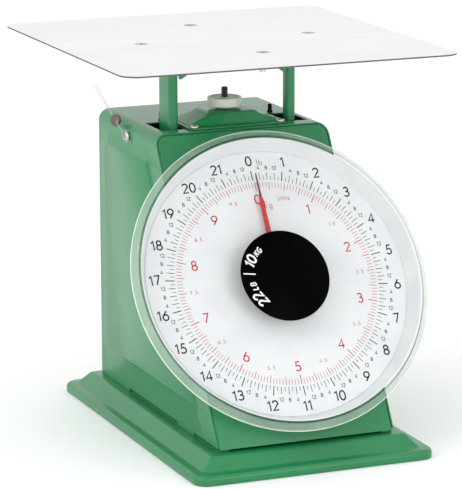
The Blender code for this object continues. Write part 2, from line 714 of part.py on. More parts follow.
def build_platform(carriage):
    sheet_middle = PLATFORM_TOP - PLATFORM_SHEET / 2
    edge = rounded_rectangle(PLATFORM_WIDTH, PLATFORM_DEPTH, PLATFORM_CORNER, 6)
    head = PLATFORM_SCREW_HEAD
    outline(
        "platform_plate",
        [edge] + [circle(p, head + GAP, 24) for p in PLATFORM_SCREWS],
        PLATFORM_SHEET,
        STAINLESS,
        carriage,
        (0, PLATFORM_Y, sheet_middle),
    )
    arm = SPIDER_ARM / 2
    reach_x = PLATFORM_SCREWS[1][0] + arm
    reach_y = PLATFORM_SCREWS[3][1] + arm
    cross = [
        (reach_x, -arm), (reach_x, arm), (arm, arm), (arm, reach_y), (-arm, reach_y), (-arm, arm),
        (-reach_x, arm), (-reach_x, -arm), (-arm, -arm), (-arm, -reach_y), (arm, -reach_y), (arm, -arm),
    ]
    outline(
        "platform_spider",
        [cross] + [circle(p, PLATFORM_SCREW_SHANK + SPIDER_HOLE_PLAY, 20) for p in PLATFORM_SCREWS],
        SPIDER_THICKNESS,
        GREEN,
        carriage,
        (0, PLATFORM_Y, SPIDER_TOP - SPIDER_THICKNESS / 2),
    )
    shank = PLATFORM_SCREW_SHANK
    top = PLATFORM_TOP - 0.1 * MM
    profile = [
        (0, top), (head, top), (head - 0.4 * MM, top - 0.4 * MM),
        (shank, top - 1.0 * MM - (head - shank) * 0.5),
        (shank, PLATFORM_SCREW_END), (0, PLATFORM_SCREW_END),
    ]
    for i, (x, y) in enumerate(PLATFORM_SCREWS):
        turned(f"platform_screw_{i + 1}", profile, ZINC, carriage, (x, PLATFORM_Y + y, 0), steps=16)


def build_posts(carriage):
    middle = POST_SHEET / 2
    for side, word in ((-1, "left"), (1, "right")):
        outer = side * (POST_OUTER - middle)
        inner = side * (POST_INNER + middle)
        front = POST_FRONT_Y + middle
        corners = [
            (outer, POST_FRONT_Y + POST_DEPTH),
            (outer, front),
            (inner, front),
            (inner, POST_FRONT_Y + POST_LIP),
        ]
        path = filleted(corners, POST_ROUND)
        post = strip(
            f"post_{word}",
            [(x, y, POST_BOTTOM) for x, y in path],
            (0, 0, POST_TOP - POST_BOTTOM),
            POST_SHEET,
            GREEN,
            carriage,
        )
        for level, z in enumerate(STAY_FRAME_Z):
            at = (outer, STAY_CARRIAGE_Y, z + STAY_LIFT)
            hole = STAY_PIN_RADIUS + RUNNING_GAP
            drill(post, f"post_{word}_hole_{level}", hole, 8 * MM, carriage, at, (0, math.pi / 2, 0))
            low = STAY_X - 1.2 * MM
            high = POST_OUTER + 1.5 * MM
            cylinder(
                f"stay_stub_{('lower', 'upper')[level]}_{word}",
                STAY_PIN_RADIUS,
                high - low,
                ZINC,
                carriage,
                (side * (low + high) / 2, STAY_CARRIAGE_Y, z + STAY_LIFT),
                (0, math.pi / 2, 0),
            )
    reach = POST_INNER - GAP
    low = POST_TOP - BEAM_DEPTH
    gusset = [
        (-reach, POST_TOP), (-reach, low - BEAM_GUSSET), (-reach + BEAM_GUSSET * 1.6, low),
        (reach - BEAM_GUSSET * 1.6, low), (reach, low - BEAM_GUSSET), (reach, POST_TOP),
    ]
    outline(
        "post_beam", [gusset], POST_SHEET, GREEN, carriage,
        (0, POST_FRONT_Y + middle, 0), (math.pi / 2, 0, 0),
    )


def build_cradle(carriage):
    """The bar that the springs pull on, and the slotted arm that moves the rack."""
    x = POST_OUTER - POST_SHEET - GAP
    low_y, high_y = CRADLE_BAR_Y
    low, high = CRADLE_BAR_Z
    bar = rounded_rectangle(2 * x, high_y - low_y, 1.5 * MM, 2)
    hole_y = ZERO_Y - (low_y + high_y) / 2
    holes = [circle((side * SPRING_X, hole_y), PLUG_STEM + GAP, 16) for side in (-1, 1)]
    outline(
        "cradle_bar", [bar] + holes, high - low, DARK_STEEL, carriage,
        (0, (low_y + high_y) / 2, (low + high) / 2),
    )
    for side, word in ((-1, "left"), (1, "right")):
        build_spring_plug(
            f"lower_spring_plug_{word}", carriage, (side * SPRING_X, ZERO_Y, high), -1, high - low
        )
    pin_y, pin_z = rack_pin_place()
    slot_half = RACK_PIN_RADIUS + RUNNING_GAP
    slot_front = pin_y - TRAVEL * math.tan(FRONT_TILT) - SLOT_END_PLAY
    slot_back = pin_y + SLOT_END_PLAY
    slot = arc((slot_back, pin_z), slot_half, 90, -90, 6)
    slot += arc((slot_front, pin_z), slot_half, 270, 90, 6)
    foot = high + GAP
    foot_front, foot_back = DRIVE_ARM_FOOT
    shoulder = slot_back + DRIVE_ARM_SHOULDER
    end = slot_front - DRIVE_ARM_END
    arm = [
        (foot_back, foot), (foot_back, foot + DRIVE_ARM_RISE), (10 * MM, pin_z + 2 * MM),
        (shoulder, pin_z + DRIVE_ARM_HALF), (end, pin_z + DRIVE_ARM_HALF),
        (end, pin_z - DRIVE_ARM_HALF), (shoulder, pin_z - DRIVE_ARM_HALF), (foot_front, foot),
    ]
    outline(
        "drive_arm", [arm, slot], DRIVE_ARM_SHEET, ZINC, carriage,
        (DRIVE_ARM_X + DRIVE_ARM_SHEET / 2, 0, 0), (math.pi / 2, 0, math.pi / 2),
    )


def rack_pin_place():
    """Y and Z of the rack's pin at rest, in the scale's frame."""
    sine, cosine = math.sin(FRONT_TILT), math.cos(FRONT_TILT)
    y = DIAL_Y - GEAR_DEPTH * cosine + RACK_PIN_HEIGHT * sine
    z = DIAL_Z + GEAR_DEPTH * sine + RACK_PIN_HEIGHT * cosine
    return y, z


def build_movement(dial_axis):
    pitch = FULL_TURN * PINION_PITCH_RADIUS / PINION_TEETH
    tip, root = TOOTH_TIP, TOOTH_ROOT
    half_tooth = TOOTH_SHARE * pitch / 2
    lean = math.tan(math.radians(20))

    teeth = []
    for i in range(PINION_TEETH):
        middle = FULL_TURN * (i + 0.5) / PINION_TEETH
        for height, side in ((-root, -1), (0, -1), (tip, -1), (tip, 1), (0, 1), (-root, 1)):
            radius = PINION_PITCH_RADIUS + height
            width = half_tooth - height * lean * (1.3 if height > 0 else 0.4)
            angle = middle + side * width / radius
            teeth.append((radius * math.cos(angle), radius * math.sin(angle)))
    bore = circle((0, 0), SPINDLE_RADIUS + RUNNING_GAP, 16)
    spindle_turn = empty("pointer_spindle_turn", (0, 0, 0), parent=dial_axis)
    outline("pinion", [teeth, bore], GEAR_WIDTH + 1 * MM, BRASS, spindle_turn, (0, 0, GEAR_DEPTH))

    first = -3
    last = int((FULL_TURN * PINION_PITCH_RADIUS + 3 * MM) / pitch) + 1
    edge = []
    for i in range(first, last + 1):
        middle = i * pitch
        for height, side in ((-root, -1), (tip, -1), (tip, 1), (-root, 1)):
            width = half_tooth - height * lean
            edge.append((PINION_PITCH_RADIUS - height, middle + side * width))
    root_x = PINION_PITCH_RADIUS + root
    rack_top = last * pitch + RACK_END
    back_edge = [(root_x, rack_top), (RACK_BACK, rack_top), (RACK_BACK, RACK_BOTTOM)]
    rack = [(root_x, RACK_BOTTOM)] + edge + back_edge
    rack_slide = empty("rack_slide", (0, 0, GEAR_DEPTH), parent=dial_axis)
    outline("rack", [rack], GEAR_WIDTH, BRASS, rack_slide)
    pin = [
        (0, 4.5 * MM), (RACK_PIN_RADIUS, 4.5 * MM), (RACK_PIN_RADIUS, 0.5 * MM), (1.5 * MM, 0.5 * MM),
        (1.5 * MM, GAP), (0, GAP),
    ]
    turned(
        "rack_pin", pin, ZINC, rack_slide, (RACK_BACK, RACK_PIN_HEIGHT, 0), (0, math.pi / 2, 0),
        steps=10,
    )

    back = GEAR_DEPTH - GEAR_WIDTH / 2 - 4.5 * MM
    front = 3.0 * MM
    cylinder(
        "spindle", SPINDLE_RADIUS, front - back + 2 * MM, ZINC, spindle_turn,
        (0, 0, (front + back - 2 * MM) / 2),
    )
    panel_back = -PANEL_BEHIND_DIAL - BODY_SHEET - GAP
    half = BEARING_SHEET / 2
    left_x = -STRAP_LEFT
    right_x = RACK_BACK + GAP + half
    corners = [
        (left_x - STRAP_FOOT, panel_back - half), (left_x, panel_back - half), (left_x, back + half),
        (right_x, back + half), (right_x, panel_back - half), (right_x + STRAP_FOOT, panel_back - half),
    ]
    bearing = strip(
        "bearing_strap",
        [(x, -STRAP_WIDTH / 2, z) for x, z in filleted(corners, SHEET_BEND, 3)],
        (0, STRAP_WIDTH, 0),
        BEARING_SHEET,
        BRASS,
        dial_axis,
    )
    bearing_hole = SPINDLE_RADIUS + RUNNING_GAP
    drill(bearing, "bearing_hole", bearing_hole, 6 * MM, dial_axis, (0, 0, back + half))
    bush = [
        (BUSH_RADIUS, BUSH_FRONT),
        (BUSH_RADIUS, panel_back),
        (BUSH_FLANGE, panel_back),
        (BUSH_FLANGE, panel_back - BUSH_FLANGE_THICKNESS),
        (SPINDLE_RADIUS + RUNNING_GAP, panel_back - BUSH_FLANGE_THICKNESS),
        (SPINDLE_RADIUS + RUNNING_GAP, BUSH_FRONT),
    ]
    turned("spindle_bush", bush, BRASS, dial_axis, ring=True, steps=14)
    return spindle_turn


def build_dial(dial_axis):
    plate_back = -DIAL_PLATE_THICKNESS
    bore = circle((0, 0), DIAL_BORE, 20)
    outline(
        "dial_plate", [circle((0, 0), DIAL_PLATE_RADIUS, 48), bore], DIAL_PLATE_THICKNESS,
        DIAL_WHITE, dial_axis, (0, 0, plate_back / 2),
    )
    floor = plate_back - GAP
    under = floor - PAN_SHEET
    pan = [
        (PAN_RIM_RADIUS, PAN_RIM_HEIGHT),
        (PAN_FLOOR_RADIUS + PAN_SHEET, floor),
        (PAN_FLOOR_RADIUS, under),
        (BUSH_RADIUS + RUNNING_GAP, under),
        (BUSH_RADIUS + RUNNING_GAP, floor),
        (PAN_FLOOR_RADIUS - 0.2 * MM, floor),
        (PAN_RIM_RADIUS - PAN_SHEET, PAN_RIM_HEIGHT),
    ]
    turned("dial_pan", pan, DIAL_WHITE, dial_axis, ring=True, steps=48)
    spacer_front = under - GAP
    spacer_back = -PANEL_BEHIND_DIAL + GAP
    inner, outer = DIAL_SPACER_RADII
    outline(
        "dial_spacer",
        [circle((0, 0), outer, 40), circle((0, 0), inner, 32)],
        spacer_front - spacer_back,
        ZINC,
        dial_axis,
        (0, 0, (spacer_front + spacer_back) / 2),
    )
    build_cover(dial_axis)


def build_cover(dial_axis):
    shoulder, height = COVER_SHOULDER, COVER_SHOULDER_HEIGHT
    outer = [(0.0, COVER_CROWN)]
    for i in range(1, 4):
        radius = (shoulder - 1.5 * MM) * i / 3
        outer.append((radius, COVER_CROWN - (COVER_CROWN - height - 0.5 * MM) * (i / 3) ** 2))
    outer.append((shoulder, height - 0.4 * MM))
    outer.append((COVER_RADIUS - 1.2 * MM, COVER_LIP_HEIGHT + 0.8 * MM))
    outer.append((COVER_RADIUS, COVER_LIP_HEIGHT + 0.5 * MM))
    outer.append((COVER_RADIUS, COVER_LIP_HEIGHT - 0.5 * MM))
    inner = [
        (COVER_RADIUS - 1.6 * MM, COVER_LIP_HEIGHT - 0.5 * MM),
        (shoulder - 0.9 * MM, height - 1.2 * MM),
        (shoulder - 1.8 * MM, height + 0.4 * MM - COVER_WALL),
        (0.0, COVER_CROWN - COVER_WALL),
    ]
    turned("dial_cover", outer + inner, CLEAR, dial_axis, steps=48)
    disc = [
        (0, COVER_CROWN + GAP + CENTRE_DISC_THICKNESS),
        (CENTRE_DISC_RADIUS - 0.3 * MM, COVER_CROWN + GAP + CENTRE_DISC_THICKNESS),
        (CENTRE_DISC_RADIUS, COVER_CROWN + GAP + 0.3 * MM),
        (CENTRE_DISC_RADIUS, COVER_CROWN + GAP),
        (0, COVER_CROWN + GAP),
    ]
    turned("centre_disc", disc, BLACK, dial_axis, steps=32)


def build_pointer(spindle_turn):
    """A one-piece pointer: a boss on the spindle with the flat hand joined to it."""
    low = POINTER_HEIGHT - POINTER_SHEET / 2
    high = POINTER_HEIGHT + POINTER_SHEET / 2
    boss_top = high + 1.0 * MM
    boss_foot = 2 * GAP
    boss = [(0, boss_top), (POINTER_BOSS, boss_top), (POINTER_BOSS, boss_foot), (0, boss_foot)]
    pointer = turned("pointer", boss, RED, spindle_turn, steps=14)
    length = POINTER_LENGTH
    right = [
        (0.3 * MM, length), (0.5 * MM, length * 0.9), (0.8 * MM, length * 0.8),
        (1.8 * MM, length * 0.72), (1.5 * MM, length * 0.62), (2.0 * MM, 20 * MM),
    ]
    right += arc((0, 0), POINTER_HUB, 68, -68, 8)
    right.append((2.2 * MM, -POINTER_TAIL))
    hand = right + [(-x, y) for x, y in reversed(right)]
    bm = bmesh.new()
    face = bm.faces.new([bm.verts.new((x, y, low)) for x, y in hand])
    raised = bmesh.ops.extrude_face_region(bm, geom=[face])["geom"]
    bmesh.ops.translate(
        bm, vec=(0, 0, POINTER_SHEET), verts=[e for e in raised if isinstance(e, bmesh.types.BMVert)]
    )
    bmesh.ops.recalc_face_normals(bm, faces=bm.faces)
    arm = place("pointer_hand", mesh_from(bm, "pointer_hand"), RED, spindle_turn, group=CUTTERS)
    arm.hide_render = True
    arm.display_type = "WIRE"
    union = pointer.modifiers.new("hand", "BOOLEAN")
    union.operation = "UNION"
    union.solver = "EXACT"
    union.object = arm
    drill(pointer, "pointer_bore", SPINDLE_RADIUS + RUNNING_GAP, 20 * MM, spindle_turn, (0, 0, 0))


def build_stays(frame):
    reach = STAY_FRAME_Y - STAY_CARRIAGE_Y
    length = math.hypot(reach, STAY_LIFT)
    tilt = -math.atan2(STAY_LIFT, reach)
    for level, z in enumerate(STAY_FRAME_Z):
        word = ("lower", "upper")[level]
        swing = empty(f"{word}_stay_swing", (0, STAY_FRAME_Y, z), tilt, frame)
        width = STAY_HALF_WIDTH
        shape = arc((0, 0), width, -90, 90, 10) + arc((-length, 0), width, 90, 270, 10)
        frame_eye = circle((0, 0), STAY_PIN_RADIUS + RUNNING_GAP, 16)
        carriage_eye = circle((-length, 0), STAY_EYE_RADIUS, 20)
        for side, hand in ((-1, "left"), (1, "right")):
            outline(
                f"{word}_stay_{hand}", [shape, frame_eye, carriage_eye], STAY_SHEET, ZINC, swing,
                (side * STAY_X, 0, 0), (math.pi / 2, 0, math.pi / 2),
            )
        cylinder(
            f"{word}_stay_pin", STAY_PIN_RADIUS, 2 * (BRACKET_X + STAY_SHEET + PIN_OVERHANG), ZINC, frame,
            (0, STAY_FRAME_Y, z), (0, math.pi / 2, 0),
        )
    back = BODY_BACK_Y - GAP - BODY_SHEET - GAP - STAY_SHEET / 2
    bottom = BASE_HEIGHT + GAP
    for side, hand in ((-1, "left"), (1, "right")):
        ear = side * (BRACKET_X + STAY_SHEET / 2)
        corners = [(ear, STAY_FRAME_Y - BRACKET_NOSE), (ear, back), (side * BRACKET_WING, back)]
        path = filleted(corners, SHEET_BEND)
        bracket = strip(
            f"stay_bracket_{hand}", [(x, y, bottom) for x, y in path], (0, 0, BRACKET_HEIGHT), STAY_SHEET,
            ZINC, frame,
        )
        for level, z in enumerate(STAY_FRAME_Z):
            hole = STAY_PIN_RADIUS + RUNNING_GAP
            drill(
                bracket, f"bracket_{hand}_hole_{level}", hole, 8 * MM, frame, (ear, STAY_FRAME_Y, z),
                (0, math.pi / 2, 0),
            )
    profile = screw_profile(BACK_SCREW)
    hole = BACK_SCREW[2] + RUNNING_GAP
    for i, (x, z) in enumerate(back_screw_places()):
        hand = "left" if x < 0 else "right"
        bracket = bpy.data.objects[f"stay_bracket_{hand}"]
        drill(bracket, f"back_hole_{i + 1}", hole, 8 * MM, frame, (x, back, z), (math.pi / 2, 0, 0))
        head = (x, BODY_BACK_Y, z)
        turned(f"back_screw_{i + 1}", profile, ZINC, frame, head, (-math.pi / 2, 0, 0), steps=10)


def build_base_screws(frame):
    profile = screw_profile(BASE_SCREW)
    for i, (x, y) in enumerate(base_screw_places()):
        at = (x, y, BASE_HEIGHT - BASE_SHEET - GAP)
        turned(f"base_screw_{i + 1}", profile, ZINC, frame, at, (math.pi, 0, 0), steps=10)


def build_top_fittings(frame):
    radius, height = STOP_BUFFER_RADIUS, STOP_BUFFER_HEIGHT
    profile = [(0, height), (radius - 0.4 * MM, height), (radius, height - 0.7 * MM), (radius, 0), (0, 0)]
    for side, word in ((-1, "left"), (1, "right")):
        at = (side * STOP_BUFFER_X, SLOT_Y[1] + STOP_BUFFER_BEHIND_SLOT, BODY_TOP + GAP)
        turned(f"stop_buffer_{word}", profile, BLACK, frame, at, steps=10)


def build_seal(frame):
    head = (-HALF - GAP, SEAL_SCREW_Y, SEAL_SCREW_Z)
    profile = screw_profile(SEAL_SCREW)
    turned("seal_screw", profile, ZINC, frame, head, (0, -math.pi / 2, 0), steps=14)
    seal_x = -HALF - SEAL_STAND_OFF
    half, bevel = SEAL_HALF_THICKNESS, 0.8 * MM
    profile = [
        (0, half), (SEAL_RADIUS - bevel, half), (SEAL_RADIUS, half - 0.7 * MM),
        (SEAL_RADIUS, 0.7 * MM - half), (SEAL_RADIUS - bevel, -half), (0, -half),
    ]
    disc = Vector((seal_x, SEAL_Y, SEAL_Z))
    seal = turned("lead_seal", profile, LEAD, frame, disc, (0, math.pi / 2, 0), steps=16)
    lug = Vector((seal_x, SEAL_SCREW_Y, SEAL_SCREW_Z))
    along = (disc - lug).normalized()
    tilt = math.atan2(SEAL_Z - SEAL_SCREW_Z, SEAL_Y - SEAL_SCREW_Y) - math.pi / 2
    drill(seal, "seal_bore", SEAL_WIRE_RADIUS + GAP, 12 * MM, frame, disc, (tilt, 0, 0))
    tail = Vector(SEAL_WIRE_END)
    straight = along * SEAL_WIRE_STRAIGHT
    points = [lug + along * SEAL_WIRE_START, disc - straight, disc, disc + straight]
    start = points[-1]
    for i in range(1, SEAL_WIRE_STEPS + 1):
        share = i / SEAL_WIRE_STEPS
        bow = Vector(SEAL_WIRE_BOW) * math.sin(math.pi * share)
        points.append(start.lerp(tail, share) + bow)
    wire("seal_wire", points, SEAL_WIRE_RADIUS, ZINC, frame)


def build():
    frame = empty("scale_frame", (0, MIDDLE_Y, 0))
    upright = math.pi / 2 - FRONT_TILT
    front_plane = empty("front_plane", (0, BODY_FRONT_Y, BODY_TOP), upright, frame)
    dial_axis = empty("dial_axis", (0, DIAL_Y, DIAL_Z), upright, frame)
    carriage = empty("load_carriage", (0, 0, 0), parent=frame)
    build_base(frame)
    build_body(frame, front_plane)
    build_front_panel(frame, dial_axis)
    build_back_panel(frame)
    build_base_screws(frame)
    build_zero_bridge(frame)
    build_knob(frame)
    build_zero_beam(frame)
    build_springs(frame)
    build_platform(carriage)
    build_posts(carriage)
    build_cradle(carriage)
    build_dial(dial_axis)
    build_pointer(build_movement(dial_axis))
    build_stays(frame)
    build_top_fittings(frame)
    build_seal(frame)


build()
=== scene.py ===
"""Looks of a mechanical dial platform scale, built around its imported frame.

Each sub-assembly is a class that takes its places from the frame's nodes, builds its meshes and
dresses them. Lengths are metres, +X is the scale's right as its dial is read, +Y its back and +Z is up.
"""

import json
import logging
import math
from dataclasses import dataclass, field
from enum import Enum
from typing import Any, Iterable, Sequence

import bmesh
import bpy
from mathutils import Matrix, Vector


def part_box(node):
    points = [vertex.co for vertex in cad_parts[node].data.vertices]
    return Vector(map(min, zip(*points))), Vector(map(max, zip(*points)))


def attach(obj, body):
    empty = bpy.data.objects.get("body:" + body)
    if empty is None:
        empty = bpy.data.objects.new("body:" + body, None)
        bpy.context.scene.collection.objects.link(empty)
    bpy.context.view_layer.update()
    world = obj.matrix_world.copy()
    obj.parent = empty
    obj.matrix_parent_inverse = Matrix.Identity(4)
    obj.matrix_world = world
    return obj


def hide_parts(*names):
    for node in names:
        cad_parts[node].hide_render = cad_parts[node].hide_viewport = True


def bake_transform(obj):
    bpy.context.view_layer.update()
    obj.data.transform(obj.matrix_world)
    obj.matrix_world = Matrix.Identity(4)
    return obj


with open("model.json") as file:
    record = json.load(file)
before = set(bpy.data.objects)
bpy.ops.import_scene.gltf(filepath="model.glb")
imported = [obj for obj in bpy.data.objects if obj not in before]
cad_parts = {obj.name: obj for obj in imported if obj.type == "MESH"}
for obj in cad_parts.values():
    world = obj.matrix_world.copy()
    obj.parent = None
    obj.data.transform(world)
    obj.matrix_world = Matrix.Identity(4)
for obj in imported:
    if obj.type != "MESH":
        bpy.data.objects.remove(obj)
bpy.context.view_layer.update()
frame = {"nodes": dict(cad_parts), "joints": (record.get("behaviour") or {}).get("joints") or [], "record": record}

LOG = logging.getLogger("dial_scale")
MM = 0.001
FULL_TURN = 2.0 * math.pi
WHITE = (1.0, 1.0, 1.0, 1.0)
RIGHT, BACK, UP = Vector((1.0, 0.0, 0.0)), Vector((0.0, 1.0, 0.0)), Vector((0.0, 0.0, 1.0))
FACE_UP = (0.0, 0.0, 0.0)
BACK_SCREWS = ("back_screw_1", "back_screw_2")
BASE_SCREWS = ("base_screw_1", "base_screw_2")
BRIDGE_SCREWS = ("bridge_screw_1", "bridge_screw_2")
PLATFORM_SCREWS = tuple(f"platform_screw_{i}" for i in range(1, 5))
REPLACED: set[str] = set()
Point2 = tuple[float, float]
Point3 = tuple[float, float, float]
Colour = tuple[int, int, int]
Material = bpy.types.Material
Mesh = bpy.types.Mesh
Piece = bpy.types.Object


# Shader graphs


class Wire:
    """One socket of a shader graph, with the arithmetic that masks and patterns need."""

    def __init__(self, graph: "Graph", socket: bpy.types.NodeSocket) -> None:
        self.graph = graph
        self.socket = socket

    def _math(self, operation: str, first: Any, second: Any) -> "Wire":
        """Adds a Math node for two operands."""
        return self.graph.node("ShaderNodeMath", {"operation": operation}, {0: first, 1: second})

    def __add__(self, other: Any) -> "Wire":
        """Sum of two values."""
        return self._math("ADD", self, other)

    def __radd__(self, other: Any) -> "Wire":
        """Sum with the number on the left."""
        return self._math("ADD", other, self)

    def __sub__(self, other: Any) -> "Wire":
        """Difference of two values."""
        return self._math("SUBTRACT", self, other)

    def __rsub__(self, other: Any) -> "Wire":
        """Difference with the number on the left."""
        return self._math("SUBTRACT", other, self)

    def __mul__(self, other: Any) -> "Wire":
        """Product of two values."""
        return self._math("MULTIPLY", self, other)

    def __rmul__(self, other: Any) -> "Wire":
        """Product with the number on the left."""
        return self._math("MULTIPLY", other, self)

    def power(self, exponent: float) -> "Wire":
        """This value raised to an exponent."""
        return self._math("POWER", self, exponent)

    def within(self, low: float, high: float) -> "Wire":
        """A soft band: 0 below low, 1 above high.

        Args:
            low: value where the step starts.
            high: value where the step is complete.

        Returns:
            The stepped value, from 0 to 1.
        """
        settings = {"interpolation_type": "SMOOTHSTEP"}
        return self.graph.node("ShaderNodeMapRange", settings, {"Value": self, 1: low, 2: high})


class Graph:
    """The node tree of one material."""

    def __init__(self, name: str) -> None:
        self.material = bpy.data.materials.new(name)
        self.material.use_nodes = True
        self.tree = self.material.node_tree
        self.tree.nodes.clear()
        self.output = self.tree.nodes.new("ShaderNodeOutputMaterial")

    def node(self, kind: str, settings: dict[str, Any], sockets: dict[Any, Any], out: Any = 0) -> Wire:
        """Adds a node.

        Args:
            kind: the node's type name.
            settings: its properties, set before its sockets.
            sockets: values or wires of its inputs, by name or number.
            out: which output to return.

        Returns:
            The chosen output.
        """
        made = self.tree.nodes.new(kind)
        for key, value in settings.items():
            setattr(made, key, value)
        for key, value in sockets.items():
            if isinstance(value, Wire):
                self.tree.links.new(value.socket, made.inputs[key])
            else:
                made.inputs[key].default_value = value
        return Wire(self, made.outputs[out])

    def place(self) -> Wire:
        """Object coordinates, which are the scale's own frame."""
        return self.node("ShaderNodeTexCoord", {}, {}, "Object")

    def mapped(self, scale: Point3, turn: Point3 = (0, 0, 0)) -> Wire:
        """Object coordinates turned and stretched."""
        sockets = {"Vector": self.place(), "Rotation": turn, "Scale": scale}
        return self.node("ShaderNodeMapping", {}, sockets)

    def noise(self, scale: float, detail: float = 3.0, at: "Wire | None" = None) -> Wire:
        """Fractal noise from 0 to 1."""
        vector = at if at is not None else self.place()
        sockets = {"Vector": vector, "Scale": scale, "Detail": detail, "Roughness": 0.55}
        return self.node("ShaderNodeTexNoise", {"noise_dimensions": "3D"}, sockets)

    def tint(self, factor: Any, first: Any, second: Any) -> Wire:
        """A colour between two colours."""
        return self.node("ShaderNodeMix", {"data_type": "RGBA"}, {0: factor, 6: first, 7: second}, 2)

    def bump(self, height: Wire, strength: float, distance: float) -> Wire:
        """A normal from a height."""
        sockets = {"Strength": strength, "Distance": distance, "Height": height}
        return self.node("ShaderNodeBump", {}, sockets)

    def vectors(self, operation: str, first: Wire, second: Vector, out: Any = 0) -> Wire:
        """An operation on a wired vector and a fixed one."""
        sockets = {0: first, 1: tuple(second)}
        return self.node("ShaderNodeVectorMath", {"operation": operation}, sockets, out)

    def along(self, origin: Vector, direction: Vector) -> Wire:
        """How far each place lies from the origin along a direction."""
        offset = self.vectors("SUBTRACT", self.place(), origin)
        return self.vectors("DOT_PRODUCT", offset, direction, "Value")

    def principled(self, sockets: dict[str, Any]) -> Wire:
        """A layered surface with the given inputs."""
        return self.node("ShaderNodeBsdfPrincipled", {}, sockets)

    def surface(self, shader: Wire) -> Material:
        """Ends the graph with a shader."""
        self.tree.links.new(shader.socket, self.output.inputs["Surface"])
        return self.material


def display(colour: Colour) -> tuple[float, float, float, float]:
    """Scene-linear RGBA of an 8-bit display colour."""
    linear = [((c / 255 + 0.055) / 1.055) ** 2.4 if c > 10 else c / 255 / 12.92 for c in colour]
    return (linear[0], linear[1], linear[2], 1.0)


# Finishes


@dataclass(frozen=True)
class Enamel:
    """Stoved enamel on sheet steel: a glossy coat with faint orange peel and pooled colour."""

    name: str
    colour: Colour
    pooled: Colour
    roughness: float = 0.28
    peel: float = 900.0
    coat: float = 0.15

    def build(self) -> Material:
        """Makes the material."""
        g = Graph(self.name)
        cloud = g.noise(14.0, 4.0).within(0.3, 0.7)
        speck = g.noise(2600.0, 2.0).within(0.62, 0.75)
        colour = g.tint(cloud * 0.5, display(self.colour), display(self.pooled))
        colour = g.tint(speck * 0.08, colour, WHITE)
        rough = self.roughness + 0.08 * g.noise(60.0, 3.0)
        height = g.noise(self.peel, 2.0) + 0.6 * g.noise(self.peel * 0.25, 1.0)
        sockets = {
            "Base Color": colour,
            "Roughness": rough,
            "Normal": g.bump(height, 0.12, 0.00012),
            "Coat Weight": self.coat,
            "Coat Roughness": 0.12,
            "Specular IOR Level": 0.42,
        }
        return g.surface(g.principled(sockets))


@dataclass(frozen=True)
class RolledSteel:
    """Metal with drawn grain along one axis, faint scratches and a colour that varies a little."""

    name: str
    colour: Colour
    grain: Point3
    roughness: float = 0.3
    depth: float = 0.00004
    stain: float = 0.12
    metallic: float = 1.0

    def build(self) -> Material:
        """Makes the material."""
        g = Graph(self.name)
        streaks = g.noise(1.0, 4.0, g.mapped(self.grain))
        haze = g.noise(18.0, 3.0).within(0.35, 0.7)
        scratch_noise = g.noise(1.0, 1.0, g.mapped((30.0, 900.0, 400.0), (0, 0, 0.6)))
        scratches = scratch_noise.within(0.68, 0.74)
        dark = display(tuple(int(c * (1.0 - self.stain)) for c in self.colour))
        colour = g.tint(streaks.within(0.3, 0.7) * 0.6, display(self.colour), dark)
        colour = g.tint(haze * 0.3, colour, dark)
        rough = self.roughness + 0.12 * streaks + 0.05 * haze
        height = streaks + 0.35 * scratches
        sockets = {
            "Base Color": colour,
            "Metallic": self.metallic,
            "Roughness": rough,
            "Normal": g.bump(height, 0.2, self.depth),
        }
        return g.surface(g.principled(sockets))


@dataclass(frozen=True)
class Plastic:
    """Moulded plastic: fine skin texture, small roughness changes and a slight colour drift."""

    name: str
    colour: Colour
    drift: Colour
    roughness: float = 0.4
    skin: float = 1800.0
    depth: float = 0.00004
    shine: float = 0.5

    def build(self) -> Material:
        """Makes the material."""
        g = Graph(self.name)
        cloud = g.noise(40.0, 4.0).within(0.35, 0.7)
        colour = g.tint(cloud, display(self.colour), display(self.drift))
        rough = self.roughness + 0.1 * g.noise(220.0, 3.0)
        sockets = {
            "Base Color": colour,
            "Roughness": rough,
            "Normal": g.bump(g.noise(self.skin, 2.0), 0.15, self.depth),
            "Specular IOR Level": self.shine,
        }
        return g.surface(g.principled(sockets))


@dataclass(frozen=True)
class ClearCover:
    """The moulded clear dial cover: nearly unseen over the dial, with a painted reflection along its flared edge,
    a painted shade line at its shoulder and a painted highlight on its lip.
    """

    name: str
    centre: Vector
    outward: Vector
    shoulder: float
    lip: float
    # haze: the pale colour of the painted reflection on the flared skirt.
    haze: Colour = (186, 206, 190)
    # line: the colour of the painted shade line at the shoulder.
    line: Colour = (38, 66, 50)

    def build(self) -> Material:
        """Makes the material."""
        g = Graph(self.name)
        away = g.vectors("DISTANCE", g.place(), self.centre, "Value")
        height = g.along(self.centre, self.outward)
        radius = (away * away - height * height).power(0.5)
        # The flared skirt, where the painted reflection is laid.
        flared = radius.within(self.shoulder + 0.1 * MM, self.shoulder + 0.3 * MM)
        # A thin painted shade line just inside the shoulder.
        ring = radius.within(self.shoulder - 0.45 * MM, self.shoulder - 0.25 * MM) * (1 - flared)
        # A painted highlight on the lip.
        rim = radius.within(self.lip - 0.9 * MM, self.lip - 0.3 * MM)
        # Streaks in the painted reflection on the skirt, also used in the roughness.
        sheen_streak = g.noise(70.0, 3.0).within(0.35, 0.75)
        # The pale painted reflection colour, with the painted shade line in the line colour.
        colour = g.tint(ring, display(self.haze), display(self.line))
        # The painted highlight on the lip, in white.
        colour = g.tint(rim, colour, WHITE)
        # How strongly the painted reflection, the painted shade line and the painted lip highlight cover the clear
        # shader.
        cover = 0.012 + ring * 0.75 + flared * (0.22 + 0.1 * sheen_streak) + rim * 0.22
        rough = 0.08 + 0.04 * sheen_streak
        body = g.principled({"Base Color": colour, "Roughness": rough, "Specular IOR Level": 0.5})
        clear = g.node("ShaderNodeBsdfTransparent", {}, {"Color": WHITE})
        return g.surface(g.node("ShaderNodeMixShader", {}, {0: cover, 1: clear, 2: body}))


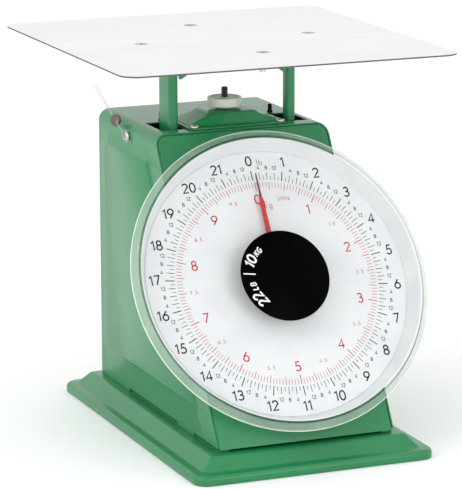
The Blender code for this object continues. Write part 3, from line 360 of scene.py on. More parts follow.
@dataclass(frozen=True)
class Palette:
    """Every finish of the scale, made once."""

    green: Material
    stainless: Material
    dial_card: Material
    pan_white: Material
    black_ink: Material
    red_ink: Material
    white_ink: Material
    gloss_black: Material
    rubber: Material
    ivory: Material
    pointer_red: Material
    needle: Material
    zinc: Material
    sheared: Material
    dark_steel: Material
    brass: Material
    lead: Material

    @classmethod
    def make(cls) -> "Palette":
        """Builds every material of the palette."""
        fine, drawn = (400.0, 400.0, 400.0), (6.0, 900.0, 60.0)
        bright = (240, 240, 240)
        return cls(
            green=Enamel("green_enamel", (30, 128, 76), (22, 112, 64)).build(),
            stainless=RolledSteel("satin_stainless", bright, drawn, 0.3, 0.00003, 0.05).build(),
            dial_card=Plastic("dial_card", (224, 226, 228), (218, 220, 223), 0.45, 1400.0).build(),
            pan_white=Plastic("pan_white_paint", (222, 225, 226), (214, 218, 220), 0.4, 900.0).build(),
            black_ink=Plastic("black_ink", (18, 20, 24), (30, 32, 36), 0.6, 2400.0, 0.00002, 0.1).build(),
            red_ink=Plastic("red_ink", (184, 24, 34), (194, 42, 48), 0.6, 2400.0, 0.00002, 0.1).build(),
            white_ink=Plastic("white_ink", (240, 240, 240), (228, 228, 228), 0.5, 2400.0).build(),
            gloss_black=Plastic("gloss_black", (1, 1, 1), (3, 3, 3), 0.3, 1200.0, 0.00002, 0.02).build(),
            rubber=Plastic("black_rubber", (18, 20, 19), (28, 29, 28), 0.7, 700.0, 0.0001, 0.2).build(),
            ivory=Plastic("ivory_plastic", (222, 223, 212), (208, 209, 198), 0.42, 1100.0).build(),
            pointer_red=Enamel("pointer_red", (196, 30, 36), (176, 24, 30), 0.35, 1500.0, 0.3).build(),
            needle=Enamel("pointer_dark_tip", (52, 24, 26), (40, 20, 22), 0.4, 1500.0, 0.2).build(),
            zinc=RolledSteel("zinc_plate", (212, 212, 204), fine, 0.26, 0.00003, 0.2).build(),
            # A darker, duller steel for the platform's edge faces: painted shade along the plate's edge.
            sheared=RolledSteel("sheared_edge", (96, 96, 94), fine, 0.45, 0.00003, 0.25, 0.4).build(),
            dark_steel=RolledSteel("dark_steel", (112, 108, 102), fine, 0.38, 0.00003, 0.3).build(),
            brass=RolledSteel("brass", (198, 168, 98), fine, 0.28, 0.00003, 0.2).build(),
            lead=RolledSteel("seal_lead", (128, 122, 116), fine, 0.58, 0.0001, 0.3, 0.55).build(),
        )


# Mesh making


def place_object(name: str, mesh: Mesh, *materials: Material) -> Piece:
    """An object at the origin that shows a mesh in the given materials."""
    made = bpy.data.objects.new(name, mesh)
    bpy.context.scene.collection.objects.link(made)
    mesh.materials.clear()
    for material in materials:
        mesh.materials.append(material)
    return made


def baked(source: Piece, name: str, smooth: float = 40.0) -> Mesh:
    """The evaluated mesh of an object, as plain data, with its modifiers done.

    Args:
        source: the object, which is removed.
        name: the new mesh's name.
        smooth: the angle in degrees above which an edge stays sharp.

    Returns:
        A mesh of its own.
    """
    bpy.context.view_layer.update()
    graph = bpy.context.evaluated_depsgraph_get()
    mesh = bpy.data.meshes.new_from_object(source.evaluated_get(graph))
    mesh.name = name
    data = source.data
    bpy.data.objects.remove(source, do_unlink=True)
    if data.users == 0 and isinstance(data, Mesh):
        bpy.data.meshes.remove(data)
    return tidied(mesh, smooth)


def tidied(mesh: Mesh, smooth: float = 40.0) -> Mesh:
    """Welds a closed mesh, turns its faces outwards and shades its gentle edges smooth."""
    bm = bmesh.new()
    bm.from_mesh(mesh)
    bmesh.ops.remove_doubles(bm, verts=bm.verts, dist=1e-7)
    bmesh.ops.dissolve_degenerate(bm, edges=bm.edges, dist=1e-7)
    bmesh.ops.recalc_face_normals(bm, faces=bm.faces)
    bm.to_mesh(mesh)
    bm.free()
    mesh.shade_smooth()
    mesh.set_sharp_from_angle(angle=math.radians(smooth))
    return mesh


def arc(centre: Point2, radius: float, start: float, end: float, steps: int) -> list[Point2]:
    """Points on an arc, angles in degrees, both ends included."""
    angles = [math.radians(start + (end - start) * i / steps) for i in range(steps + 1)]
    return [(centre[0] + radius * math.cos(a), centre[1] + radius * math.sin(a)) for a in angles]


def rounded_rectangle(width: float, depth: float, radius: float, steps: int = 8) -> list[Point2]:
    """A rectangle's outline about the origin, with round corners."""
    x, y = width / 2 - radius, depth / 2 - radius
    corners = ((x, y, 0), (-x, y, 90), (-x, -y, 180), (x, -y, 270))
    return [p for cx, cy, start in corners for p in arc((cx, cy), radius, start, start + 90, steps)]


def softened(points: Sequence[Point2], radius: float, steps: int = 3) -> list[Point2]:
    """An open path with each inner corner rounded, as far as its sides allow."""
    result = [points[0]]
    for before, corner, after in zip(points, points[1:], points[2:]):
        at = Vector(corner)
        back, ahead = Vector(before) - at, Vector(after) - at
        reach = min(radius, back.length * 0.45, ahead.length * 0.45)
        first, last = at + back.normalized() * reach, at + ahead.normalized() * reach
        for i in range(steps + 1):
            t = i / steps
            result.append(tuple(first * (1 - t) ** 2 + at * (2 * t * (1 - t)) + last * t**2))
    return result + [points[-1]]


def skin(
    name: str, loops: Sequence[Sequence[Point3]], wrap: bool = True, foot: bool = False, head: bool = False
) -> Mesh:
    """A surface through rows of equally many points.

    Args:
        name: the mesh's name.
        loops: the rows, from one end to the other.
        wrap: True if each row closes on itself.
        foot: True to close the first row with a face.
        head: True to close the last row with a face.

    Returns:
        The new mesh.
    """
    bm = bmesh.new()
    rows = [[bm.verts.new(point) for point in loop] for loop in loops]
    for lower, upper in zip(rows, rows[1:]):
        for i in range(len(lower) if wrap else len(lower) - 1):
            j = (i + 1) % len(lower)
            bm.faces.new((lower[i], lower[j], upper[j], upper[i]))
    if foot:
        bm.faces.new(list(reversed(rows[0])))
    if head:
        bm.faces.new(rows[-1])
    mesh = bpy.data.meshes.new(name)
    bm.to_mesh(mesh)
    bm.free()
    return mesh


def solid_between(name: str, loops: Sequence[Sequence[Point3]], smooth: float = 40.0) -> Mesh:
    """A closed solid through rings of equally many points, with flat ends."""
    return tidied(skin(name, loops, foot=True, head=True), smooth)


def extruded(name: str, flat: Sequence[Point2], low: float, high: float, smooth: float = 40.0) -> Mesh:
    """A closed solid of one outline between two heights."""
    return solid_between(name, [[(x, y, z) for x, y in flat] for z in (low, high)], smooth)


def modified(made: Piece, kind: str, **settings: Any) -> Piece:
    """The object with one more modifier."""
    modifier = made.modifiers.new(kind.lower(), kind)
    for key, value in settings.items():
        setattr(modifier, key, value)
    return made


def in_sheet(made: Piece, thickness: float, offset: float = -1.0) -> Piece:
    """A surface given the thickness of sheet metal."""
    return modified(made, "SOLIDIFY", thickness=thickness, offset=offset, use_even_offset=True)


def softened_edges(made: Piece, width: float, segments: int, angle: float) -> Piece:
    """An object whose edges sharper than an angle in degrees are bevelled."""
    limit = math.radians(angle)
    return modified(made, "BEVEL", width=width, segments=segments, limit_method="ANGLE", angle_limit=limit)


def facing(axis: Vector, side: str = "Z") -> Matrix:
    """The turn that points one side of an object along an axis."""
    return axis.to_track_quat(side, "Y").to_matrix().to_4x4()


def box_cutter(low: Point3, high: Point3) -> Piece:
    """A box for boolean cuts."""
    flat = [(low[0], low[1]), (high[0], low[1]), (high[0], high[1]), (low[0], high[1])]
    return place_object("cutter", extruded("cutter", flat, low[2], high[2]))


def rod_cutter(at: Vector, axis: Vector, radius: float, length: float) -> Piece:
    """A cylinder for boolean cuts, centred on a point."""
    rings = [[(x, y, z) for x, y in arc((0, 0), radius, 0, 345, 23)] for z in (-length / 2, length / 2)]
    mesh = skin("cutter", rings, foot=True, head=True)
    mesh.transform(Matrix.Translation(at) @ facing(axis))
    return place_object("cutter", tidied(mesh))


def cut_from(target: Piece, cutters: Iterable[Piece], name: str) -> Mesh:
    """Cuts solids out of an object and removes all of them, leaving the finished mesh."""
    tools = list(cutters)
    for tool in tools:
        modified(target, "BOOLEAN", operation="DIFFERENCE", solver="EXACT", object=tool)
    mesh = baked(target, name, 30.0)
    for tool in tools:
        bpy.data.objects.remove(tool, do_unlink=True)
    return mesh


def pierced(made: Piece, cutters: Iterable[Piece], *finishes: Material) -> Piece:
    """An object with solids cut out of it, in its finishes."""
    name = made.name
    return place_object(name, cut_from(made, cutters, name), *finishes)


def middle_of(node: str) -> Vector:
    """The middle of a node's box."""
    low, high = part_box(node)
    return (low + high) / 2


def over(node: str, z: float) -> Vector:
    """The point at a height above or below a node's middle."""
    middle = middle_of(node)
    return Vector((middle.x, middle.y, z))


def axis_of(node: str) -> Matrix:
    """The place of a turned piece that stands upright on a node's middle."""
    return Matrix.Translation(over(node, 0.0))


def upright_holes(nodes: Iterable[str], z: float, radius: float, length: float) -> list[Piece]:
    """Upright cylinders for boolean cuts, one through each node's middle."""
    return [rod_cutter(over(node, z), UP, radius, length) for node in nodes]


def spindle() -> tuple[Vector, Vector]:
    """A point on the pointer's axis, and the axis, out of the dial."""
    joint = next(j for j in frame["joints"] if j["child"] == "pointer_spindle")
    return Vector(joint["pos_m"]), Vector(joint["axis"]).normalized()


def settle(piece: Piece, body: str, slot: str, *nodes: str) -> None:
    """Makes a finished piece ride on a body, hides and records the nodes that it stands for, and logs it."""
    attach(piece, body)
    if nodes:
        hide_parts(*nodes)
        REPLACED.update(nodes)
    LOG.info("%s: %d faces on %s", piece.name, len(piece.data.polygons), body)


# Geometry node trees


class Tree:
    """A geometry node tree with named inputs."""

    def __init__(self, name: str, inputs: dict[str, tuple[str, Any]]) -> None:
        self.group = bpy.data.node_groups.new(name, "GeometryNodeTree")
        self.group.interface.new_socket("Geometry", in_out="OUTPUT", socket_type="NodeSocketGeometry")
        self.group.interface.new_socket("Geometry", in_out="INPUT", socket_type="NodeSocketGeometry")
        for label, (kind, default) in inputs.items():
            made = self.group.interface.new_socket(label, in_out="INPUT", socket_type=f"NodeSocket{kind}")
            if default is not None:
                made.default_value = default
        self.entry = self.group.nodes.new("NodeGroupInput")
        self.exit = self.group.nodes.new("NodeGroupOutput")

    def get(self, label: str) -> bpy.types.NodeSocket:
        """The socket of a named input."""
        return self.entry.outputs[label]

    def add(self, kind: str, settings: dict[str, Any], sockets: dict[Any, Any], out: Any = 0) -> Any:
        """Adds a node and returns one of its outputs."""
        made = self.group.nodes.new(kind)
        for key, value in settings.items():
            setattr(made, key, value)
        for key, value in sockets.items():
            if isinstance(value, bpy.types.NodeSocket):
                self.group.links.new(value, made.inputs[key])
            else:
                made.inputs[key].default_value = value
        return made.outputs[out]

    def maths(self, operation: str, first: Any, second: Any) -> Any:
        """A Math node of two operands."""
        return self.add("ShaderNodeMath", {"operation": operation}, {0: first, 1: second})

    def finish(self, geometry: Any) -> None:
        """Realizes the instances, gives them their material and ends the tree."""
        real = self.add("GeometryNodeRealizeInstances", {}, {0: geometry})
        sockets = {"Geometry": real, "Material": self.get("Finish")}
        dressed = self.add("GeometryNodeSetMaterial", {}, sockets)
        self.group.links.new(dressed, self.exit.inputs[0])

    def run(self, name: str, values: dict[str, Any], start: Mesh | None = None) -> Mesh:
        """Evaluates the tree once.

        Args:
            name: the new mesh's name.
            values: the inputs by label.
            start: the mesh that the tree starts from, if it needs one.

        Returns:
            The plain mesh, with its modifier gone.
        """
        carrier = place_object(name, start or bpy.data.meshes.new(name))
        modifier = carrier.modifiers.new("build", "NODES")
        modifier.node_group = self.group
        for item in self.group.interface.items_tree:
            if item.item_type == "SOCKET" and item.in_out == "INPUT" and item.name in values:
                modifier[item.identifier] = values[item.name]
        carrier.update_tag()
        return baked(carrier, name)


def mark_ring_tree() -> Tree:
    """Bars set round a circle, turned to the centre, some of them left out."""
    tree = Tree(
        "mark_ring",
        {
            "Count": ("Int", 10),
            "Step": ("Float", 0.1),
            "Turn": ("Float", 0.0),
            "Inner": ("Float", 0.07),
            "Outer": ("Float", 0.08),
            "Width": ("Float", 0.0003),
            "Ink": ("Float", 0.00003),
            "Lift": ("Float", 0.0),
            "Leave Out Every": ("Int", 1000),
            "Finish": ("Material", None),
        },
    )
    index = tree.add("GeometryNodeInputIndex", {}, {})
    line = tree.add("GeometryNodeMeshLine", {}, {"Count": tree.get("Count")})
    angle = tree.maths("ADD", tree.maths("MULTIPLY", index, tree.get("Step")), tree.get("Turn"))
    radius = tree.maths("MULTIPLY", tree.maths("ADD", tree.get("Inner"), tree.get("Outer")), 0.5)
    x = tree.maths("MULTIPLY", tree.maths("SINE", angle, 0.0), radius)
    y = tree.maths("MULTIPLY", tree.maths("COSINE", angle, 0.0), radius)
    at = tree.add("ShaderNodeCombineXYZ", {}, {"X": x, "Y": y, "Z": tree.get("Lift")})
    points = tree.add("GeometryNodeSetPosition", {}, {"Geometry": line, "Position": at})
    over_count = tree.maths("MODULO", index, tree.get("Leave Out Every"))
    compare = {"data_type": "FLOAT", "operation": "GREATER_THAN"}
    kept = tree.add("FunctionNodeCompare", compare, {0: over_count, 1: 0.5})
    length = tree.maths("SUBTRACT", tree.get("Outer"), tree.get("Inner"))
    sockets = {"X": tree.get("Width"), "Y": length, "Z": tree.get("Ink")}
    size = tree.add("ShaderNodeCombineXYZ", {}, sockets)
    bar = tree.add("GeometryNodeMeshCube", {}, {"Size": size})
    turn = tree.add("ShaderNodeCombineXYZ", {}, {"Z": tree.maths("MULTIPLY", angle, -1.0)})
    sockets = {"Points": points, "Selection": kept, "Instance": bar, "Rotation": turn}
    tree.finish(tree.add("GeometryNodeInstanceOnPoints", {}, sockets))
    return tree


def helix_tree() -> Tree:
    """A round wire wound into a coil about Z."""
    tree = Tree(
        "helix_wire",
        {
            "Turns": ("Float", 9.0),
            "Coil Radius": ("Float", 0.006),
            "Height": ("Float", 0.1),
            "Wire Radius": ("Float", 0.001),
            "Steps": ("Int", 24),
            "Finish": ("Material", None),
        },
    )
    radius = tree.get("Coil Radius")
    sockets = {
        "Resolution": tree.get("Steps"),
        "Rotations": tree.get("Turns"),
        "Start Radius": radius,
        "End Radius": radius,
        "Height": tree.get("Height"),
    }
    spiral = tree.add("GeometryNodeCurveSpiral", {}, sockets)
    sockets = {"Resolution": 12, "Radius": tree.get("Wire Radius")}
    section = tree.add("GeometryNodeCurvePrimitiveCircle", {}, sockets)
    sockets = {"Curve": spiral, "Profile Curve": section, "Fill Caps": True}
    tree.finish(tree.add("GeometryNodeCurveToMesh", {}, sockets))
    return tree


def lathe_tree() -> Tree:
    """A profile of points, in the XZ plane, turned into a solid about Z."""
    inputs = {"Points": ("Int", 4), "Steps": ("Int", 48), "Finish": ("Material", None)}
    tree = Tree("lathe", inputs)
    index = tree.add("GeometryNodeInputIndex", {}, {})
    columns = tree.maths("ADD", tree.get("Steps"), 1.0)
    sockets = {"Vertices X": columns, "Vertices Y": tree.get("Points")}
    grid = tree.add("GeometryNodeMeshGrid", {}, sockets)
    share = tree.maths("DIVIDE", tree.maths("ADD", index, 0.5), tree.get("Points"))
    column = tree.maths("FLOOR", share, 0.0)
    row = tree.maths("SUBTRACT", index, tree.maths("MULTIPLY", column, tree.get("Points")))
    position = tree.add("GeometryNodeInputPosition", {}, {})
    settings = {"data_type": "FLOAT_VECTOR", "domain": "POINT"}
    sockets = {"Geometry": tree.get("Geometry"), "Value": position, "Index": row}
    sampled = tree.add("GeometryNodeSampleIndex", settings, sockets)
    split = tree.group.nodes.new("ShaderNodeSeparateXYZ")
    tree.group.links.new(sampled, split.inputs[0])
    angle = tree.maths("MULTIPLY", tree.maths("DIVIDE", column, tree.get("Steps")), FULL_TURN)
    x = tree.maths("MULTIPLY", split.outputs["X"], tree.maths("COSINE", angle, 0.0))
    y = tree.maths("MULTIPLY", split.outputs["X"], tree.maths("SINE", angle, 0.0))
    at = tree.add("ShaderNodeCombineXYZ", {}, {"X": x, "Y": y, "Z": split.outputs["Z"]})
    moved = tree.add("GeometryNodeSetPosition", {}, {"Geometry": grid, "Position": at})
    tree.finish(tree.add("GeometryNodeMergeByDistance", {}, {"Geometry": moved, "Distance": 1e-7}))
    return tree


def fastener_tree() -> Tree:
    """Copies of one screw on every point of the mesh that the tree starts from."""
    inputs = {"Screw": ("Object", None), "Turn": ("Vector", None), "Finish": ("Material", None)}
    tree = Tree("fasteners", inputs)
    info = tree.add("GeometryNodeObjectInfo", {}, {"Object": tree.get("Screw")}, "Geometry")
    seed = tree.add("FunctionNodeRandomValue", {"data_type": "FLOAT"}, {2: 0.0, 3: 1.5, "Seed": 7}, 1)
    about = tree.add("ShaderNodeCombineXYZ", {}, {"Z": seed})
    sockets = {"Points": tree.get("Geometry"), "Instance": info, "Rotation": tree.get("Turn")}
    placed = tree.add("GeometryNodeInstanceOnPoints", {}, sockets)
    sockets = {"Instances": placed, "Rotation": about, "Local Space": True}
    tree.finish(tree.add("GeometryNodeRotateInstances", {}, sockets))
    return tree


@dataclass
class Workshop:
    """The geometry node trees and the palette that every sub-assembly shares."""

    palette: Palette = field(default_factory=Palette.make)
    marks: Tree = field(default_factory=mark_ring_tree)
    helix: Tree = field(default_factory=helix_tree)
    lathe: Tree = field(default_factory=lathe_tree)
    fasteners: Tree = field(default_factory=fastener_tree)

    def turned(
        self,
        name: str,
        profile: Sequence[Point2],
        finish: Material,
        place: Matrix,
        steps: int = 64,
        ring: bool = False,
    ) -> Piece:
        """A turned piece.

        Args:
            name: the piece's name.
            profile: radius and height of each corner, down the outer side.
            finish: its material.
            place: where its axis stands.
            steps: faces round it.
            ring: True if the profile closes on itself and doesn't meet the axis.

        Returns:
            The piece, at the origin, with its place in its mesh.
        """
        points = list(profile) + ([profile[0]] if ring else [])
        line = bpy.data.meshes.new(f"{name}_profile")
        line.from_pydata([(radius, 0.0, height) for radius, height in points], [], [])
        values = {"Points": len(points), "Steps": steps, "Finish": finish}
        mesh = self.lathe.run(name, values, line)
        mesh.transform(place)
        return place_object(name, mesh, finish)

    def screw_set(
        self,
        name: str,
        places: Sequence[Vector],
        head: "ScrewHead",
        turn: Point3,
        body: str,
        nodes: Sequence[str],
    ) -> None:
        """Equal zinc screws at several places, as one piece that stands for several nodes."""
        prototype = head.prototype(self)
        cloud = bpy.data.meshes.new(f"{name}_places")
        cloud.from_pydata([tuple(place) for place in places], [], [])
        zinc = self.palette.zinc
        mesh = self.fasteners.run(name, {"Screw": prototype, "Turn": turn, "Finish": zinc}, cloud)
        bpy.data.objects.remove(prototype, do_unlink=True)
        settle(place_object(name, mesh, zinc), body, "zinc_steel", *nodes)

    def pressing(self, made: Piece, holes: Iterable[Piece], body: str, *nodes: str) -> None:
        """A green pressing with its holes cut, riding on a body."""
        settle(pierced(made, holes, self.palette.green), body, "green_enamel", *nodes)


class Drive(Enum):
    """What is cut into a screw's head."""

    CROSS = "cross"
    SLOT = "slot"


@dataclass(frozen=True)
class ScrewHead:
    """A screw, head up, with the underside of its head at height 0."""

    radius: float
    height: float
    shank: float
    length: float
    drive: Drive = Drive.CROSS
    sunk: bool = False

    def prototype(self, shop: Workshop) -> Piece:
        """One screw at the origin, with its drive cut."""
        top = self.height
        if self.sunk:
            profile = [(0.0, top), (self.radius - 0.1 * MM, top), (self.radius, top - 0.15 * MM)]
            profile += [(self.radius, top - 0.3 * MM), (self.shank, 0.0)]
        else:
            profile = [(0.0, top)]
            profile += [
                (self.radius * math.sin(a), top * (0.35 + 0.65 * math.cos(a)))
                for a in (0.3, 0.6, 0.9, 1.2, 1.45)
            ]
            profile += [(self.radius, top * 0.3), (self.radius, 0.0), (self.shank, 0.0)]
        profile += [(self.shank, -self.length), (0.0, -self.length)]
        body = shop.turned("screw_prototype", profile, shop.palette.zinc, Matrix.Identity(4), 32)
        reach, half = self.radius * 0.62, self.radius * 0.13
        spans = [(reach, half)] if self.drive is Drive.SLOT else [(reach, half), (half, reach)]
        depth = top * 0.55
        cutters = [box_cutter((-x, -y, top - depth), (x, y, top + MM)) for x, y in spans]
        mesh = cut_from(body, cutters, "screw_prototype")
        return place_object("screw_prototype", mesh)


# Numerals drawn with strokes of one width


class Glyphs:
    """Plain geometric numerals and a few letters, as strokes in a cell of height 1."""

    WIDTHS = {"1": 0.36, "l": 0.16, "|": 0.3, ".": 0.22, " ": 0.3, "4": 0.66, "G": 0.7, "K": 0.64}
    COMMON_WIDTH = 0.6

    @classmethod
    def strokes(cls, letter: str, fine: int) -> list[list[Point2]]:
        """The strokes of one character.

        Args:
            letter: the character.
            fine: arc steps for half a turn.

        Returns:
            Lists of points on the middle of each stroke.
        """
        def oval(cx: float, cy: float, rx: float, ry: float, start: float, end: float) -> list[Point2]:
            steps = max(3, int(fine * abs(end - start) / 180))
            return [(cx + rx * x, cy + ry * y) for x, y in arc((0, 0), 1.0, start, end, steps)]

        six = [[(0.44, 1.0)] + oval(0.3, 0.3, 0.27, 0.3, 150, 510)]
        shapes = {
            "0": [oval(0.3, 0.5, 0.27, 0.5, 90, 450)],
            "1": [[(0.02, 0.82), (0.24, 1.0), (0.24, 0.0)]],
            "2": [oval(0.29, 0.73, 0.25, 0.27, 165, -30) + [(0.05, 0.0), (0.56, 0.0)]],
            "3": [oval(0.28, 0.76, 0.22, 0.24, 150, -85) + oval(0.28, 0.27, 0.26, 0.27, 85, -150)],
            "4": [[(0.46, 0.0), (0.46, 1.0), (0.04, 0.27), (0.62, 0.27)]],
            "5": [[(0.52, 1.0), (0.2, 1.0), (0.11, 0.52)] + oval(0.28, 0.31, 0.26, 0.31, 115, -150)],
            "6": six,
            "7": [[(0.04, 1.0), (0.55, 1.0), (0.2, 0.0)]],
            "8": [oval(0.3, 0.76, 0.21, 0.24, 270, 630), oval(0.3, 0.26, 0.26, 0.26, 90, 450)],
            "9": [[(0.6 - x, 1.0 - y) for x, y in six[0]]],
            "l": [[(0.06, 0.0), (0.06, 1.0)]],
            "b": [[(0.08, 1.0), (0.08, 0.0)], oval(0.3, 0.26, 0.22, 0.26, 180, 540)],
            "k": [[(0.08, 1.0), (0.08, 0.0)], [(0.46, 0.58), (0.1, 0.26), (0.5, 0.0)]],
            "g": [
                oval(0.28, 0.3, 0.22, 0.27, 0, 360),
                [(0.5, 0.58), (0.5, -0.05)] + oval(0.28, -0.07, 0.22, 0.2, 0, -150),
            ],
            "L": [[(0.08, 1.0), (0.08, 0.0), (0.5, 0.0)]],
            "B": [
                [(0.08, 0.0), (0.08, 1.0)],
                [(0.08, 1.0)] + oval(0.3, 0.77, 0.2, 0.23, 90, -90) + [(0.08, 0.54)],
                [(0.08, 0.54)] + oval(0.3, 0.27, 0.24, 0.27, 90, -90) + [(0.08, 0.0)],
            ],
            "K": [[(0.08, 0.0), (0.08, 1.0)], [(0.56, 1.0), (0.1, 0.42)], [(0.24, 0.6), (0.58, 0.0)]],
            "G": [oval(0.36, 0.5, 0.3, 0.5, 50, 320) + [(0.62, 0.45), (0.38, 0.45)]],
            "|": [[(0.15, 0.0), (0.15, 1.0)]],
            ".": [[(0.08, 0.0), (0.08, 0.14)]],
            " ": [],
        }
        return shapes[letter]

    @classmethod
    def width(cls, text: str, gap: float) -> float:
        """How wide a text is in a cell of height 1."""
        return sum(cls.WIDTHS.get(c, cls.COMMON_WIDTH) for c in text) + gap * (len(text) - 1)


@dataclass
class Print:
    """Ink on a flat face, drawn in the dial's plane at a height above it."""

    face: float
    ink: float = 0.04 * MM
    bm: bmesh.types.BMesh = field(default_factory=bmesh.new)

    def ribbon(self, points: Sequence[Point2], width: float) -> None:
        """Adds one closed stroke of even width along a path."""
        loop = (Vector(points[0]) - Vector(points[-1])).length < 1e-9
        path = [Vector(p) for p in (points[:-1] if loop else points)]
        count = len(path)
        rows = []
        for i, here in enumerate(path):
            before = path[(i - 1) % count] if loop or i else None
            after = path[(i + 1) % count] if loop or i < count - 1 else None
            into = (here - before).normalized() if before else (after - here).normalized()
            away = (after - here).normalized() if after else into
            side = into + away
            side = side.normalized() if side.length > 1e-6 else into
            stretch = min(1.6, 1.0 / max(0.5, side.dot(into)))
            across = Vector((-side.y, side.x)) * (width / 2 * stretch)
            rows.append([
                self.bm.verts.new((p.x, p.y, z))
                for p, z in (
                    (here + across, self.face + self.ink),
                    (here - across, self.face + self.ink),
                    (here - across, self.face),
                    (here + across, self.face),
                )
            ])
        for i in range(count if loop else count - 1):
            first, second = rows[i], rows[(i + 1) % count]
            for k in range(4):
                m = (k + 1) % 4
                self.bm.faces.new((first[k], first[m], second[m], second[k]))
        if not loop:
            self.bm.faces.new(rows[0])
            self.bm.faces.new(list(reversed(rows[-1])))

    def text(
        self,
        text: str,
        at: Point2,
        height: float,
        weight: float,
        turn: float = 0.0,
        slant: float = 0.0,
        fine: int = 8,
        gap: float = 0.12,
        wide: float = 1.13,
    ) -> None:
        """Draws a text centred on a point.

        Args:
            text: the characters.
            at: the middle of the text in the dial's plane.
            height: the height of a numeral.
            weight: the stroke's width.
            turn: how far the text is turned, in radians, anticlockwise.
            slant: how far the tops lean to the right, per height.
            fine: arc steps for half a turn.
            gap: space between characters, in heights.
            wide: how much wider than its plain shape each character is drawn.
        """
        pen = -Glyphs.width(text, gap) / 2
        cosine, sine = math.cos(turn), math.sin(turn)
        body = height - weight
        for letter in text:
            for stroke in Glyphs.strokes(letter, fine):
                points = []
                for x, y in stroke:
                    u = ((pen + x) * wide + slant * (y - 0.5)) * body
                    v = (y - 0.5) * body
                    points.append((at[0] + u * cosine - v * sine, at[1] + u * sine + v * cosine))
                self.ribbon(points, weight)
            pen += Glyphs.WIDTHS.get(letter, Glyphs.COMMON_WIDTH) + gap

    def piece(self, name: str, place: Matrix, finish: Material) -> Piece:
        """Ends the print and puts it in place."""
        mesh = bpy.data.meshes.new(name)
        bmesh.ops.recalc_face_normals(self.bm, faces=self.bm.faces)
        self.bm.to_mesh(mesh)
        self.bm.free()
        mesh.transform(place)
        return place_object(name, mesh, finish)


# Sub-assemblies


